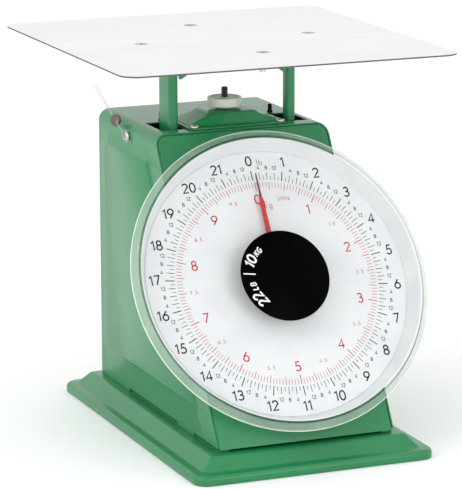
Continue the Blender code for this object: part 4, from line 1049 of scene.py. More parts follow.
@dataclass
class Dial:
    """The dial: its white pan, printed plate, clear cover, centre disc and pointer."""

    shop: Workshop
    plate_radius: float = 92.5 * MM
    pan_floor: float = 93.2 * MM
    pan_rim: float = 98.7 * MM
    rim_height: float = 10.6 * MM
    shoulder: float = 100.0 * MM
    shoulder_height: float = 12.1 * MM
    crown: float = 14.0 * MM
    lip: float = 105.0 * MM
    lip_height: float = 7.0 * MM
    wall: float = 1.2 * MM
    sheet: float = 0.8 * MM
    disc_radius: float = 31.3 * MM
    disc_faces: Point2 = (14.3 * MM, 14.9 * MM)
    pointer_faces: Point2 = (3.2 * MM, 4.0 * MM)
    pounds: int = 22
    kilograms_per_pound: float = 0.45359237
    print_turn: float = math.radians(-2.0)
    pointer_turn: float = math.radians(-0.8)
    pound_marks: tuple[float, float, float, float] = (72.5 * MM, 79.2 * MM, 77.5 * MM, 75.5 * MM)
    kilo_marks: tuple[float, float, float, float] = (71.0 * MM, 64.5 * MM, 65.6 * MM, 67.1 * MM)
    pound_numeral_radius: float = 86.2 * MM
    kilo_numeral_radius: float = 58.8 * MM
    numeral_height: float = 7.3 * MM
    small_numeral_radii: Point2 = (81.2 * MM, 60.4 * MM)
    pointer_length: float = 76.0 * MM
    pointer_tail: float = 24.0 * MM
    pan_bore: float = 4.3 * MM
    plate_bore: float = 3.4 * MM
    place: Matrix = field(init=False)
    outward: Vector = field(init=False)

    def __post_init__(self) -> None:
        """Finds the dial's axis from the pointer's joint."""
        origin, self.outward = spindle()
        turn = Matrix((RIGHT, self.outward.cross(RIGHT), self.outward)).transposed().to_4x4()
        self.place = Matrix.Translation(origin) @ turn

    def build(self) -> None:
        """Builds and places every piece of the dial."""
        self.build_pan()
        self.build_plate()
        self.build_marks()
        self.build_numerals()
        self.build_cover()
        self.build_disc()
        self.build_pointer()

    def build_pan(self) -> None:
        """The dished white pan round the plate, its wall flaring out to a plain rim."""
        floor = -self.sheet - 0.3 * MM
        under = floor - self.sheet
        outer = [(self.pan_rim, self.rim_height), (self.pan_floor + self.sheet, floor)]
        outer += [(self.pan_floor, under), (self.pan_bore, under)]
        inner = [(self.pan_bore, floor), (self.pan_floor - 0.2 * MM, floor)]
        inner += [(self.pan_rim - self.sheet, self.rim_height)]
        profile = outer[:1] + softened(outer, 1.5 * MM)[1:-1] + outer[-1:] + softened(inner, 2.0 * MM)
        white = self.shop.palette.pan_white
        pan = self.shop.turned("dial_pan_shell", profile, white, self.place, 128, True)
        settle(pan, "frame", "dial_white", "dial_pan")

    def build_plate(self) -> None:
        """The flat white plate that carries the print."""
        edge, thick, soft = self.plate_radius, self.sheet, 0.2 * MM
        profile = [(edge - soft, 0.0), (edge, -soft), (edge, -thick)]
        profile += [(self.plate_bore, -thick), (self.plate_bore, 0.0)]
        card = self.shop.palette.dial_card
        plate = self.shop.turned("dial_plate_card", profile, card, self.place, 128, True)
        settle(plate, "frame", "dial_white", "dial_plate")

    def build_marks(self) -> None:
        """Both scales' graduations, each a ring of bars."""
        black, red = self.shop.palette.black_ink, self.shop.palette.red_ink
        pound = FULL_TURN / self.pounds
        kilo = pound / self.kilograms_per_pound
        p_in, p_long, p_mid, p_short = self.pound_marks
        k_out, k_long, k_mid, k_short = self.kilo_marks
        everything = self.pounds * 8
        kilo_count = int(FULL_TURN / kilo * 20) + 1
        never = 100000
        rings = (
            ("pound_marks", self.pounds, pound, p_in, p_long, 0.62, never, black),
            ("four_ounce_marks", everything // 2, pound / 4, p_in, p_mid, 0.4, 4, black),
            ("two_ounce_marks", everything, pound / 8, p_in, p_short, 0.34, 2, black),
            ("kilogram_marks", 10, kilo, k_long, k_out, 0.55, never, red),
            ("quarter_kilo_marks", kilo_count // 5 + 1, kilo / 4, k_mid, k_out, 0.42, 4, red),
            ("fifty_gram_marks", kilo_count, kilo / 20, k_short, k_out, 0.32, 5, red),
        )
        for name, count, step, low, high, width, skip, ink in rings:
            values = {
                "Count": count + (1 if skip == never else 0),
                "Step": step,
                "Turn": self.print_turn,
                "Inner": low,
                "Outer": high,
                "Width": width * MM,
                "Ink": 0.04 * MM,
                "Lift": 0.02 * MM,
                "Leave Out Every": skip,
                "Finish": ink,
            }
            mesh = self.shop.marks.run(name, values)
            mesh.transform(self.place)
            settle(place_object(name, mesh, ink), "frame", "dial_white")

    def around(self, angle: float, radius: float) -> Point2:
        """A place on the printed dial, the angle clockwise from its zero."""
        turned = angle + self.print_turn
        return radius * math.sin(turned), radius * math.cos(turned)

    def build_numerals(self) -> None:
        """Numerals of both scales, upright on the dial, and the small ones between them."""
        pound = FULL_TURN / self.pounds
        kilo = pound / self.kilograms_per_pound
        upright = -self.print_turn
        black, red = Print(0.0), Print(0.0)
        ounce_radius, half_kilo_radius = self.small_numeral_radii
        for value in range(self.pounds):
            spot = self.around(value * pound, self.pound_numeral_radius)
            black.text(str(value), spot, self.numeral_height, 1.0 * MM, upright, fine=12)
            for ounces in (4, 8, 12):
                spot = self.around((value + ounces / 16) * pound, ounce_radius)
                black.text(str(ounces), spot, 2.9 * MM, 0.4 * MM, upright, fine=5)
        spot = self.around(math.radians(5.2), 85.2 * MM)
        black.text("lb", spot, 4.6 * MM, 0.3 * MM, upright, fine=6)
        for value in range(10):
            spot = self.around(value * kilo, self.kilo_numeral_radius)
            red.text(str(value), spot, self.numeral_height * 0.97, 0.88 * MM, upright, fine=12)
            spot = self.around((value + 0.5) * kilo, half_kilo_radius)
            half = f"{value}.5" if value else "500g"
            red.text(half, spot, 2.7 * MM, 0.3 * MM, upright, fine=5, gap=0.3)
        spot = self.around(math.radians(7.0), 54.4 * MM)
        red.text("kg", spot, 4.4 * MM, 0.34 * MM, upright, fine=6)
        palette = self.shop.palette
        for name, ink, finish in (("black", black, palette.black_ink), ("red", red, palette.red_ink)):
            settle(ink.piece(f"{name}_numerals", self.place, finish), "frame", "dial_white")

    def build_cover(self) -> None:
        """The clear cover: a shallow crown, a round shoulder and a flared skirt with a beaded lip."""
        top, lip, lip_height = self.shoulder_height, self.lip, self.lip_height
        span, bead, turn_in = self.shoulder - 2.2 * MM, 0.45 * MM, 1.4 * MM
        shares = [i / 12 for i in range(13)]
        rise = self.crown - top - 0.3 * MM
        crown = [(span * share, self.crown - rise * share**2) for share in shares]
        outside = [
            crown[-1], (self.shoulder, top - 0.7 * MM), (lip - turn_in, lip_height + 2 * bead),
            (lip, lip_height + bead), (lip, lip_height - bead), (lip - turn_in, lip_height - bead),
            (self.shoulder - 0.7 * MM, top - 1.7 * MM), (span - 0.2 * MM, top + 0.2 * MM - self.wall),
            (0.0, self.crown - self.wall),
        ]
        profile = crown[:-1] + softened(outside, 0.8 * MM, 4)
        origin = self.place.translation.copy()
        finish = ClearCover("clear_cover", origin, self.outward, self.shoulder, lip).build()
        cover = self.shop.turned("clear_dial_cover", profile, finish, self.place, 160)
        settle(cover, "frame", "clear_plastic", "dial_cover")

    def build_disc(self) -> None:
        """The black disc on the cover's middle and its plain capacity figures."""
        low, high = self.disc_faces
        edge = self.disc_radius
        profile = [(0.0, high), (edge - 0.25 * MM, high), (edge, high - 0.2 * MM), (edge, low)]
        profile.append((0.0, low))
        black = self.shop.palette.gloss_black
        disc = self.shop.turned("capacity_disc", profile, black, self.place, 128)
        settle(disc, "frame", "black_plastic", "centre_disc")
        figures = Print(high)
        middle, across = 25.2 * MM, 24.0 * MM
        for text, degrees, radius, height, weight in (
            ("22", -125.0, middle, 7.8 * MM, 1.35 * MM),
            ("LB", -103.0, across, 4.5 * MM, 0.85 * MM),
            ("|", -82.5, middle, 9.4 * MM, 0.9 * MM),
            ("10", -61.5, middle, 7.8 * MM, 1.35 * MM),
            ("KG", -41.5, across, 4.5 * MM, 0.85 * MM),
        ):
            angle = math.radians(degrees)
            spot = (radius * math.sin(angle), radius * math.cos(angle))
            slant = 0.0 if text == "|" else 0.18
            figures.text(text, spot, height, weight, -angle, slant, 12)
        piece = figures.piece("capacity_figures", self.place, self.shop.palette.white_ink)
        settle(piece, "frame", "black_plastic")

    def build_pointer(self) -> None:
        """The pointer: a red bar with a lozenge and a thin dark tip, on a round boss."""
        red, dark = self.shop.palette.pointer_red, self.shop.palette.needle
        neck, lozenge = 57.6 * MM, 54.7 * MM
        bar = [(2.1 * MM, 20.0 * MM), (1.55 * MM, 50.5 * MM), (1.9 * MM, lozenge)]
        bar.append((0.75 * MM, neck + 2.0 * MM))
        hub = arc((0, 0), 6.0 * MM, 68, -68, 18)
        side = list(reversed(bar)) + hub + [(2.2 * MM, -self.pointer_tail)]
        self.slab("pointer_bar", side, red, "pointer")
        side = [(0.3 * MM, self.pointer_length), (0.55 * MM, neck + 6 * MM), (0.75 * MM, neck + 2.03 * MM)]
        self.slab("pointer_tip", side, dark)
        low, high, radius = 4.0 * MM, 5.0 * MM, 3.2 * MM
        soft = 0.4 * MM
        profile = [(0.0, high), (radius - soft, high), (radius, high - soft), (radius, low), (0.0, low)]
        boss = self.shop.turned("pointer_boss", profile, red, self.place, 32)
        settle(boss, "pointer_spindle", "pointer_red")

    def slab(self, name: str, side: Sequence[Point2], finish: Material, *nodes: str) -> None:
        """A flat stamped piece of the pointer, alike on both sides, with softened edges."""
        low, high = self.pointer_faces
        flat = list(side) + [(-x, y) for x, y in reversed(side)]
        made = place_object(name, extruded(name, flat, low, high, 30.0), finish)
        mesh = baked(softened_edges(made, 0.08 * MM, 2, 30.0), name, 30.0)
        mesh.transform(self.place @ Matrix.Rotation(-self.pointer_turn, 4, "Z"))
        settle(place_object(name, mesh, finish), "pointer_spindle", "pointer_red", *nodes)


@dataclass
class Housing:
    """The pressed base, the folded case with its raised side fields, and its front and back."""

    shop: Workshop
    tilt: float = math.radians(30.4)
    sheet: float = 0.9 * MM
    fit: float = 0.3 * MM
    fold: float = 8.0 * MM
    top_depth: float = 108.6 * MM
    field_inset_front: float = 24.0 * MM
    field_inset_back: float = 16.5 * MM
    field_levels: Point2 = (36.0 * MM, 187.0 * MM)
    field_bevel: float = 2.8 * MM
    field_height: float = 1.5 * MM
    slot_x: Point2 = (36.0 * MM, 53.5 * MM)
    slot_y: Point2 = (10.9 * MM, 42.9 * MM)
    screw_hole: float = 1.8 * MM
    base_hole: float = 1.9 * MM
    knob_hole: float = 7.0 * MM
    spindle_hole: float = 4.3 * MM
    base_corner: float = 10.0 * MM
    base_sheet: float = 1.0 * MM
    front_return: float = 12.0 * MM
    slits: tuple[Point2, ...] = ((-114.7 * MM, -69.0 * MM), (-40.0 * MM, 52.0 * MM))
    slit_height: float = 2.4 * MM

    def __post_init__(self) -> None:
        """Reads the case's corners from its nodes."""
        low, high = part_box("cover_shell")
        self.half = high.x
        self.foot, self.top = low.z, high.z
        self.back = high.y
        self.front_top = self.back - self.top_depth
        base_low, base_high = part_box("base_plate")
        self.base_centre_y = (base_low.y + base_high.y) / 2

    def front_y(self, z: float) -> float:
        """Where the sloping front lies at a height."""
        return self.front_top - (self.top - z) * math.tan(self.tilt)

    def build(self) -> None:
        """Builds and places every piece of the housing."""
        self.build_base()
        self.build_case()
        self.build_front()
        self.build_back()
        self.build_screws()

    def build_base(self) -> None:
        """The pressed base: turned-in rim, round lip, ledge, slope and flat top."""
        low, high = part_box("base_plate")
        width, depth = high.x - low.x, high.y - low.y
        levels = [(6.0, 0.0), (0.9, 0.0), (0.25, 0.25), (0.0, 0.9)]
        for angle in (math.radians(degrees) for degrees in range(0, 91, 10)):
            levels.append((3.0 * (1 - math.cos(angle)), 3.5 + 3.0 * math.sin(angle)))
        levels += [(6.6, 6.52), (7.6, 6.75), (8.4, 7.5), (14.4, 13.9)]
        levels += [(15.2, 14.7), (16.3, 15.1), (17.6, 15.2)]
        rings = []
        for less, height in levels:
            inset = less * MM
            radius = max(self.base_corner - inset * 0.7, 2.5 * MM)
            flat = rounded_rectangle(width - 2 * inset, depth - 2 * inset, radius, 10)
            rings.append([(x, y + self.base_centre_y, height * MM) for x, y in flat])
        green = self.shop.palette.green
        made = place_object("base_pressing", skin("base_pressing", rings, head=True), green)
        holes = upright_holes(BASE_SCREWS, high.z, self.base_hole, 10 * MM)
        self.shop.pressing(in_sheet(made, self.base_sheet), holes, "frame", "base_plate")

    def section(self, inset: float, bottom: float, steps: int = 12) -> list[Point2]:
        """The case's inverted U, this far inside its outer face, from left foot to right foot."""
        x, top, radius = self.half - inset, self.top - inset, self.fold - inset
        points = [(-x, bottom)]
        points += arc((-x + radius, top - radius), radius, 180, 90, steps)
        points += arc((x - radius, top - radius), radius, 90, 0, steps)
        return points + [(x, bottom)]

    def build_case(self) -> None:
        """The folded case, a grid from front to back whose side fields stand out."""
        low, high = self.field_levels
        bevel = self.field_bevel
        levels = [self.foot, low, low + bevel * 0.5, low + bevel, high - bevel, high - bevel * 0.5, high]
        section = [(-self.half, z) for z in levels] + self.section(0.0, self.foot)[1:-1]
        section += [(self.half, z) for z in reversed(levels)]
        soft = (0.0, bevel * 0.5, bevel)
        from_front = [0.0] + [self.field_inset_front + step for step in soft]
        from_back = [self.field_inset_back + step for step in reversed(soft)] + [0.0]
        columns = []
        for x, z in section:
            run = [self.front_y(z) + d for d in from_front] + [self.back - d for d in from_back]
            flat = abs(abs(x) - self.half) > 1e-6
            columns.append([(x + math.copysign(0.0 if flat else self.swell(y, z), x), y, z) for y in run])
        mesh = skin("case_shell", columns, wrap=False)
        made = place_object("case_shell", mesh, self.shop.palette.green)
        in_sheet(made, self.sheet, 1.0 if self.faces_inward(mesh) else -1.0)
        self.shop.pressing(made, self.case_cutters(), "frame", "cover_shell")
        self.build_foot_flanges()

    @staticmethod
    def faces_inward(mesh: Mesh) -> bool:
        """True if the top of the case has its faces pointing down."""
        top = max(mesh.polygons, key=lambda face: face.center.z)
        return top.normal.z < 0

    def swell(self, y: float, z: float) -> float:
        """How far the side stands out at a place: the height of the raised field with soft edges."""
        low, high = self.field_levels
        front = self.front_y(z) + self.field_inset_front
        back = self.back - self.field_inset_back
        reach = min(y - front, back - y, z - low, high - z) / self.field_bevel
        share = min(1.0, max(0.0, reach))
        return self.field_height * (3 * share**2 - 2 * share**3)

    def case_cutters(self) -> list[Piece]:
        """Cutters of the post slots, foot slits and screw holes."""
        cutters = []
        for side in (-1, 1):
            left, right = sorted(side * x for x in self.slot_x)
            near, far = (self.front_top + y for y in self.slot_y)
            cutters.append(box_cutter((left, near, self.top - 5 * MM), (right, far, self.top + 5 * MM)))
            left, right = sorted(side * (self.half + reach) for reach in (-3 * MM, 3 * MM))
            low, high = self.foot - MM, self.foot + self.slit_height
            for near, far in ((self.base_centre_y + y0, self.base_centre_y + y1) for y0, y1 in self.slits):
                cutters.append(box_cutter((left, near, low), (right, far, high)))
        cutters += upright_holes(["zero_knob"], self.top, self.knob_hole, 10 * MM)
        cutters += upright_holes(BRIDGE_SCREWS, self.top, self.screw_hole, 10 * MM)
        seal = middle_of("seal_screw")
        at = Vector((-self.half, seal.y, seal.z))
        return cutters + [rod_cutter(at, RIGHT, self.screw_hole, 8 * MM)]

    def build_foot_flanges(self) -> None:
        """The case's feet, folded inwards over the base."""
        low, high = self.foot, self.foot + self.sheet
        front, back = self.front_y(high) + 2.0 * MM, self.back - MM
        for side, word, screw in ((-1, "left", BASE_SCREWS[0]), (1, "right", BASE_SCREWS[1])):
            x0, x1 = sorted(side * (self.half - self.sheet - reach) for reach in (0.05 * MM, 8 * MM))
            name = f"foot_flange_{word}"
            mesh = extruded(name, [(x0, front), (x1, front), (x1, back), (x0, back)], low, high)
            made = place_object(name, mesh, self.shop.palette.green)
            self.shop.pressing(made, upright_holes([screw], low, self.base_hole, 8 * MM), "frame")

    def build_front(self) -> None:
        """The sloping front panel, set inside the case, with its edge turned back."""
        section = self.section(self.sheet + self.fit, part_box("front_panel")[0].z)
        rows = [[(x, self.front_y(z) + y, z) for x, z in section] for y in (self.front_return, 0.0)]
        mesh = skin("sloping_front", rows, head=True)
        bm = bmesh.new()
        bm.from_mesh(mesh)
        bmesh.ops.recalc_face_normals(bm, faces=bm.faces)
        bm.normal_update()
        if max(bm.faces, key=lambda face: face.calc_area()).normal.y > 0:
            bmesh.ops.reverse_faces(bm, faces=bm.faces)
        bm.to_mesh(mesh)
        bm.free()
        made = place_object("sloping_front", mesh, self.shop.palette.green)
        in_sheet(softened_edges(made, 0.9 * MM, 4, 40.0), self.sheet)
        holes = upright_holes(BRIDGE_SCREWS, self.top, self.screw_hole, 10 * MM)
        origin, axis = spindle()
        holes.append(rod_cutter(origin - axis * 7.0 * MM, axis, self.spindle_hole, 8 * MM))
        self.shop.pressing(made, holes, "frame", "front_panel")

    def build_back(self) -> None:
        """The flat back panel, its outer edge softened."""
        low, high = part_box("back_panel")
        inset, soft = self.sheet + self.fit, 0.2 * MM
        rings = [
            [(x, y, z) for x, z in self.section(inset + extra, low.z + extra)]
            for extra, y in ((0.0, low.y), (0.0, high.y - soft), (soft, high.y))
        ]
        made = place_object("back_sheet", solid_between("back_sheet", rings), self.shop.palette.green)
        places = [Vector((middle_of(node).x, high.y, middle_of(node).z)) for node in BACK_SCREWS]
        holes = [rod_cutter(at, BACK, self.screw_hole, 8 * MM) for at in places]
        self.shop.pressing(made, holes, "frame", "back_panel")

    def build_screws(self) -> None:
        """The screws of the back and of the base."""
        places = [Vector((middle_of(node).x, self.back, middle_of(node).z)) for node in BACK_SCREWS]
        head = ScrewHead(3.2 * MM, 1.9 * MM, 1.5 * MM, 6.0 * MM)
        backwards, down = (-math.pi / 2, 0.0, 0.0), (math.pi, 0.0, 0.0)
        self.shop.screw_set("back_screws", places, head, backwards, "frame", BACK_SCREWS)
        head = ScrewHead(3.4 * MM, 2.0 * MM, 1.6 * MM, 6.5 * MM)
        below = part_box(BASE_SCREWS[0])[0].z + head.height
        places = [over(node, below) for node in BASE_SCREWS]
        self.shop.screw_set("base_screws", places, head, down, "frame", BASE_SCREWS)


@dataclass
class ZeroAdjuster:
    """The bridge on the case's top, the knob and its screw, the springs and small fittings."""

    shop: Workshop
    sheet: float = 1.0 * MM
    spring_play: float = 2.2 * MM
    spring_wire: float = 0.9 * MM
    thread_pitch: float = 0.8 * MM
    thread_foot: float = 205.0 * MM

    def build(self) -> None:
        """Builds and places every piece of the adjuster."""
        self.build_bridge()
        self.build_knob()
        self.build_screw()
        self.build_springs()
        self.build_fittings()

    def build_bridge(self) -> None:
        """The pressed bridge: a foot, a sloping wall and a flat top with a hole for the knob."""
        low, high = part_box("zero_bridge")
        middle_y = (low.y + high.y) / 2
        width, depth = high.x - low.x, high.y - low.y
        tall = (high.z - low.z) / MM
        foot = low.z + self.sheet
        levels = (
            (0.0, 0.0, 4.0, 0.0), (3.4, 12.4, 3.0, 0.0), (4.4, 13.2, 3.0, 0.25), (5.4, 14.2, 3.0, 1.0),
            (31.0, 19.6, 4.0, tall - 3.4), (33.5, 21.0, 4.0, tall - 2.1),
            (36.0, 22.8, 4.0, tall - 1.2), (38.5, 24.0, 4.0, tall - 1.0),
        )
        rings = []
        for less_x, less_y, radius, z in levels:
            flat = rounded_rectangle(width - less_x * MM, depth - less_y * MM, radius * MM, 6)
            rings.append([(x, y + middle_y, foot + z * MM) for x, y in flat])
        name = "zero_bridge_pressing"
        made = place_object(name, skin(name, rings, head=True), self.shop.palette.green)
        holes = upright_holes(["zero_knob"], high.z, 3.0 * MM, 12 * MM)
        holes += upright_holes(BRIDGE_SCREWS, foot, 1.8 * MM, 6 * MM)
        self.shop.pressing(in_sheet(made, self.sheet), holes, "frame", "zero_bridge")
        places = [over(node, foot + 0.3 * MM) for node in BRIDGE_SCREWS]
        head = ScrewHead(3.0 * MM, 1.9 * MM, 1.5 * MM, 6.0 * MM)
        self.shop.screw_set("bridge_screws", places, head, FACE_UP, "frame", BRIDGE_SCREWS)

    def build_knob(self) -> None:
        """The round ivory knob, dished on top, with its collar."""
        low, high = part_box("zero_knob")
        radius = (high.x - low.x) / 2 - 0.8 * MM
        bore, collar = 2.6 * MM, 6.0 * MM
        rim_low, top = low.z + 1.5 * MM, high.z
        outside = [
            (bore, top - 0.4 * MM), (radius * 0.32, top - 0.4 * MM), (radius * 0.42, top - 1.0 * MM),
            (radius - 2.4 * MM, top - 1.0 * MM), (radius - 1.6 * MM, top), (radius, top - 0.5 * MM),
            (radius, rim_low + 0.3 * MM), (radius - 1.0 * MM, rim_low), (collar, rim_low), (collar, low.z),
            (bore, low.z),
        ]
        profile, ivory = softened(outside, 0.7 * MM, 4), self.shop.palette.ivory
        knob = self.shop.turned("zero_knob_moulding", profile, ivory, axis_of("zero_knob"), 96, True)
        settle(knob, "zero_knob", "ivory_plastic", "zero_knob")

    def build_screw(self) -> None:
        """The zero screw, with fine thread ridges where it stands out of the knob."""
        low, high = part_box("zero_screw")
        radius = 2.3 * MM
        profile = [(0.0, high.z), (radius - 0.5 * MM, high.z), (radius - 0.15 * MM, high.z - 0.4 * MM)]
        z = high.z - 0.6 * MM
        while z > self.thread_foot:
            profile += [(radius, z), (radius - 0.28 * MM, z - self.thread_pitch / 2)]
            z -= self.thread_pitch
        beam_top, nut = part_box("spring_beam")[1].z, radius + 2.5 * MM
        nut_high, nut_low = beam_top + 3.3 * MM, beam_top + 0.3 * MM
        profile += [(radius, z), (radius, nut_high), (nut, nut_high), (nut, nut_low), (radius, nut_low)]
        profile += [(radius, low.z), (0.0, low.z)]
        place, steel = axis_of("zero_screw"), self.shop.palette.dark_steel
        screw = self.shop.turned("zero_screw_thread", profile, steel, place, 40)
        settle(screw, "zero_beam", "dark_steel", "zero_screw")

    def build_springs(self) -> None:
        """The two load springs, which stretch between the case and the load frame."""
        finish, wire = self.shop.palette.dark_steel, self.spring_wire
        for node in ("main_spring_left", "main_spring_right"):
            low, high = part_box(node)
            coil = (high.x - low.x) / 2 - wire
            height = high.z - low.z - 2 * wire - self.spring_play
            values = {
                "Turns": 9.0, "Coil Radius": coil, "Height": height, "Wire Radius": wire, "Steps": 28,
                "Finish": finish,
            }
            name = node.replace("main", "load")
            mesh = self.shop.helix.run(name, values)
            mesh.transform(Matrix.Translation(over(node, low.z + wire)))
            spring = place_object(name, mesh, finish)
            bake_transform(spring)
            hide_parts(node)
            REPLACED.add(node)
            LOG.info("%s: %d faces between frame and load_carriage", name, len(mesh.polygons))

    def build_fittings(self) -> None:
        """The two stop pins on the top, each a dark rubber sleeve on a round foot."""
        for word in ("left", "right"):
            node = f"stop_buffer_{word}"
            low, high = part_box(node)
            foot, base = (high.x - low.x) / 2, low.z
            radius = foot * 0.72
            profile = [(0.0, high.z)]
            for angle in (0.4, 0.8, 1.2, 1.5):
                drop = radius * 0.6 * (1 - math.cos(angle))
                profile.append((radius * math.sin(angle), high.z - drop))
            profile += [(radius, base + 1.6 * MM), (foot, base + 1.2 * MM), (foot, base), (0.0, base)]
            rubber = self.shop.palette.rubber
            pin = self.shop.turned(f"stop_pin_{word}", profile, rubber, axis_of(node), 32)
            settle(pin, "frame", "black_plastic", node)


@dataclass
class Platform:
    """The stainless plate, its spider and screws, the two folded posts and their beam."""

    shop: Workshop
    sheet: float = 1.2 * MM
    corner: float = 13.0 * MM
    post_sheet: float = 1.5 * MM

    def build(self) -> None:
        """Builds and places every piece that sinks with the load and can be seen."""
        self.build_plate()
        self.build_screws()
        self.build_spider()
        self.build_posts()
        self.build_beam()

    def build_plate(self) -> None:
        """The flat plate with round corners, its edge faces in a darker steel as painted shade along the edge."""
        low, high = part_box("platform_plate")
        centre = (low + high) / 2
        soft = 0.35 * MM
        levels = [(soft, low.z), (soft * 0.3, low.z + soft * 0.3), (0.0, low.z + soft)]
        levels += [(0.0, high.z - soft), (soft * 0.3, high.z - soft * 0.3), (soft, high.z)]
        rings = []
        for inset, z in levels:
            width, depth = high.x - low.x - 2 * inset, high.y - low.y - 2 * inset
            flat = rounded_rectangle(width, depth, self.corner - inset, 16)
            rings.append([(x + centre.x, y + centre.y, z) for x, y in flat])
        steel, edge = self.shop.palette.stainless, self.shop.palette.sheared
        made = place_object("weighing_plate", solid_between("weighing_plate", rings), steel)
        holes = upright_holes(PLATFORM_SCREWS, high.z, 4.5 * MM, 6 * MM)
        plate = pierced(made, holes, steel, edge)
        # The edge faces take the darker steel, painted shade along the plate's edge.
        for face in plate.data.polygons:
            face.material_index = 1 if abs(face.normal.z) < 0.8 else 0
        settle(plate, "load_carriage", "stainless", "platform_plate")

    def build_screws(self) -> None:
        """Four countersunk screws, flush with the plate."""
        low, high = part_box(PLATFORM_SCREWS[0])
        height = 2.1 * MM
        head = ScrewHead(4.2 * MM, height, 2.0 * MM, high.z - height - low.z, Drive.CROSS, True)
        places = [over(node, high.z - height) for node in PLATFORM_SCREWS]
        self.shop.screw_set("platform_screws", places, head, FACE_UP, "load_carriage", PLATFORM_SCREWS)

    def build_spider(self) -> None:
        """The cross-shaped spider under the plate, with round arm ends."""
        low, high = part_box("platform_spider")
        centre = (low + high) / 2
        arm = 11.0 * MM
        reach_x, reach_y = (high.x - low.x) / 2, (high.y - low.y) / 2
        quarter = [(reach_x, arm), (arm, arm), (arm, reach_y)]
        cross = []
        for sx, sy, order in ((1, 1, 1), (-1, 1, -1), (-1, -1, 1), (1, -1, -1)):
            cross += [(sx * x, sy * y) for x, y in quarter[::order]]
        path = softened([(reach_x, 0.0)] + cross + [(reach_x, 0.0)], 4.0 * MM, 4)[:-1]
        flat = [(x + centre.x, y + centre.y) for x, y in path]
        mesh = extruded("spider_cross", flat, low.z, high.z)
        made = place_object("spider_cross", mesh, self.shop.palette.green)
        holes = upright_holes(PLATFORM_SCREWS, high.z, 3.2 * MM, 12 * MM)
        self.shop.pressing(made, holes, "load_carriage", "platform_spider")

    def build_posts(self) -> None:
        """Two channel posts, folded from sheet, open to the back."""
        half = self.post_sheet / 2
        for side, word in ((-1, "left"), (1, "right")):
            low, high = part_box(f"post_{word}")
            outer = (low.x if side < 0 else high.x) - side * half
            inner = (high.x if side < 0 else low.x) + side * half
            front = low.y + half
            path = [(outer, high.y), (outer, front), (inner, front), (inner, low.y + 6.0 * MM)]
            path = softened(path, 2.2 * MM, 6)
            name = f"channel_post_{word}"
            rows = [[(x, y, z) for x, y in path] for z in (low.z, high.z)]
            made = place_object(name, skin(name, rows, wrap=False), self.shop.palette.green)
            in_sheet(made, self.post_sheet, 0.0)
            pins = [middle_of(f"stay_stub_{level}_{word}") for level in ("lower", "upper")]
            places = [Vector((outer, pin.y, pin.z)) for pin in pins]
            holes = [rod_cutter(at, RIGHT, 1.8 * MM, 5 * MM) for at in places]
            self.shop.pressing(made, holes, "load_carriage", f"post_{word}")

    def build_beam(self) -> None:
        """The beam between the posts, with a gusset at each end."""
        low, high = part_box("post_beam")
        drop, gusset = 12.0 * MM, 12.8 * MM
        corners = [
            (low.x, high.z), (low.x, low.z), (low.x + gusset, high.z - drop),
            (high.x - gusset, high.z - drop), (high.x, low.z), (high.x, high.z),
        ]
        path = softened(corners, 3.0 * MM, 4)
        mesh = solid_between("gusset_beam", [[(x, y, z) for x, z in path] for y in (low.y, high.y)], 30.0)
        made = place_object("gusset_beam", mesh, self.shop.palette.green)
        settle(made, "load_carriage", "green_enamel", "post_beam")


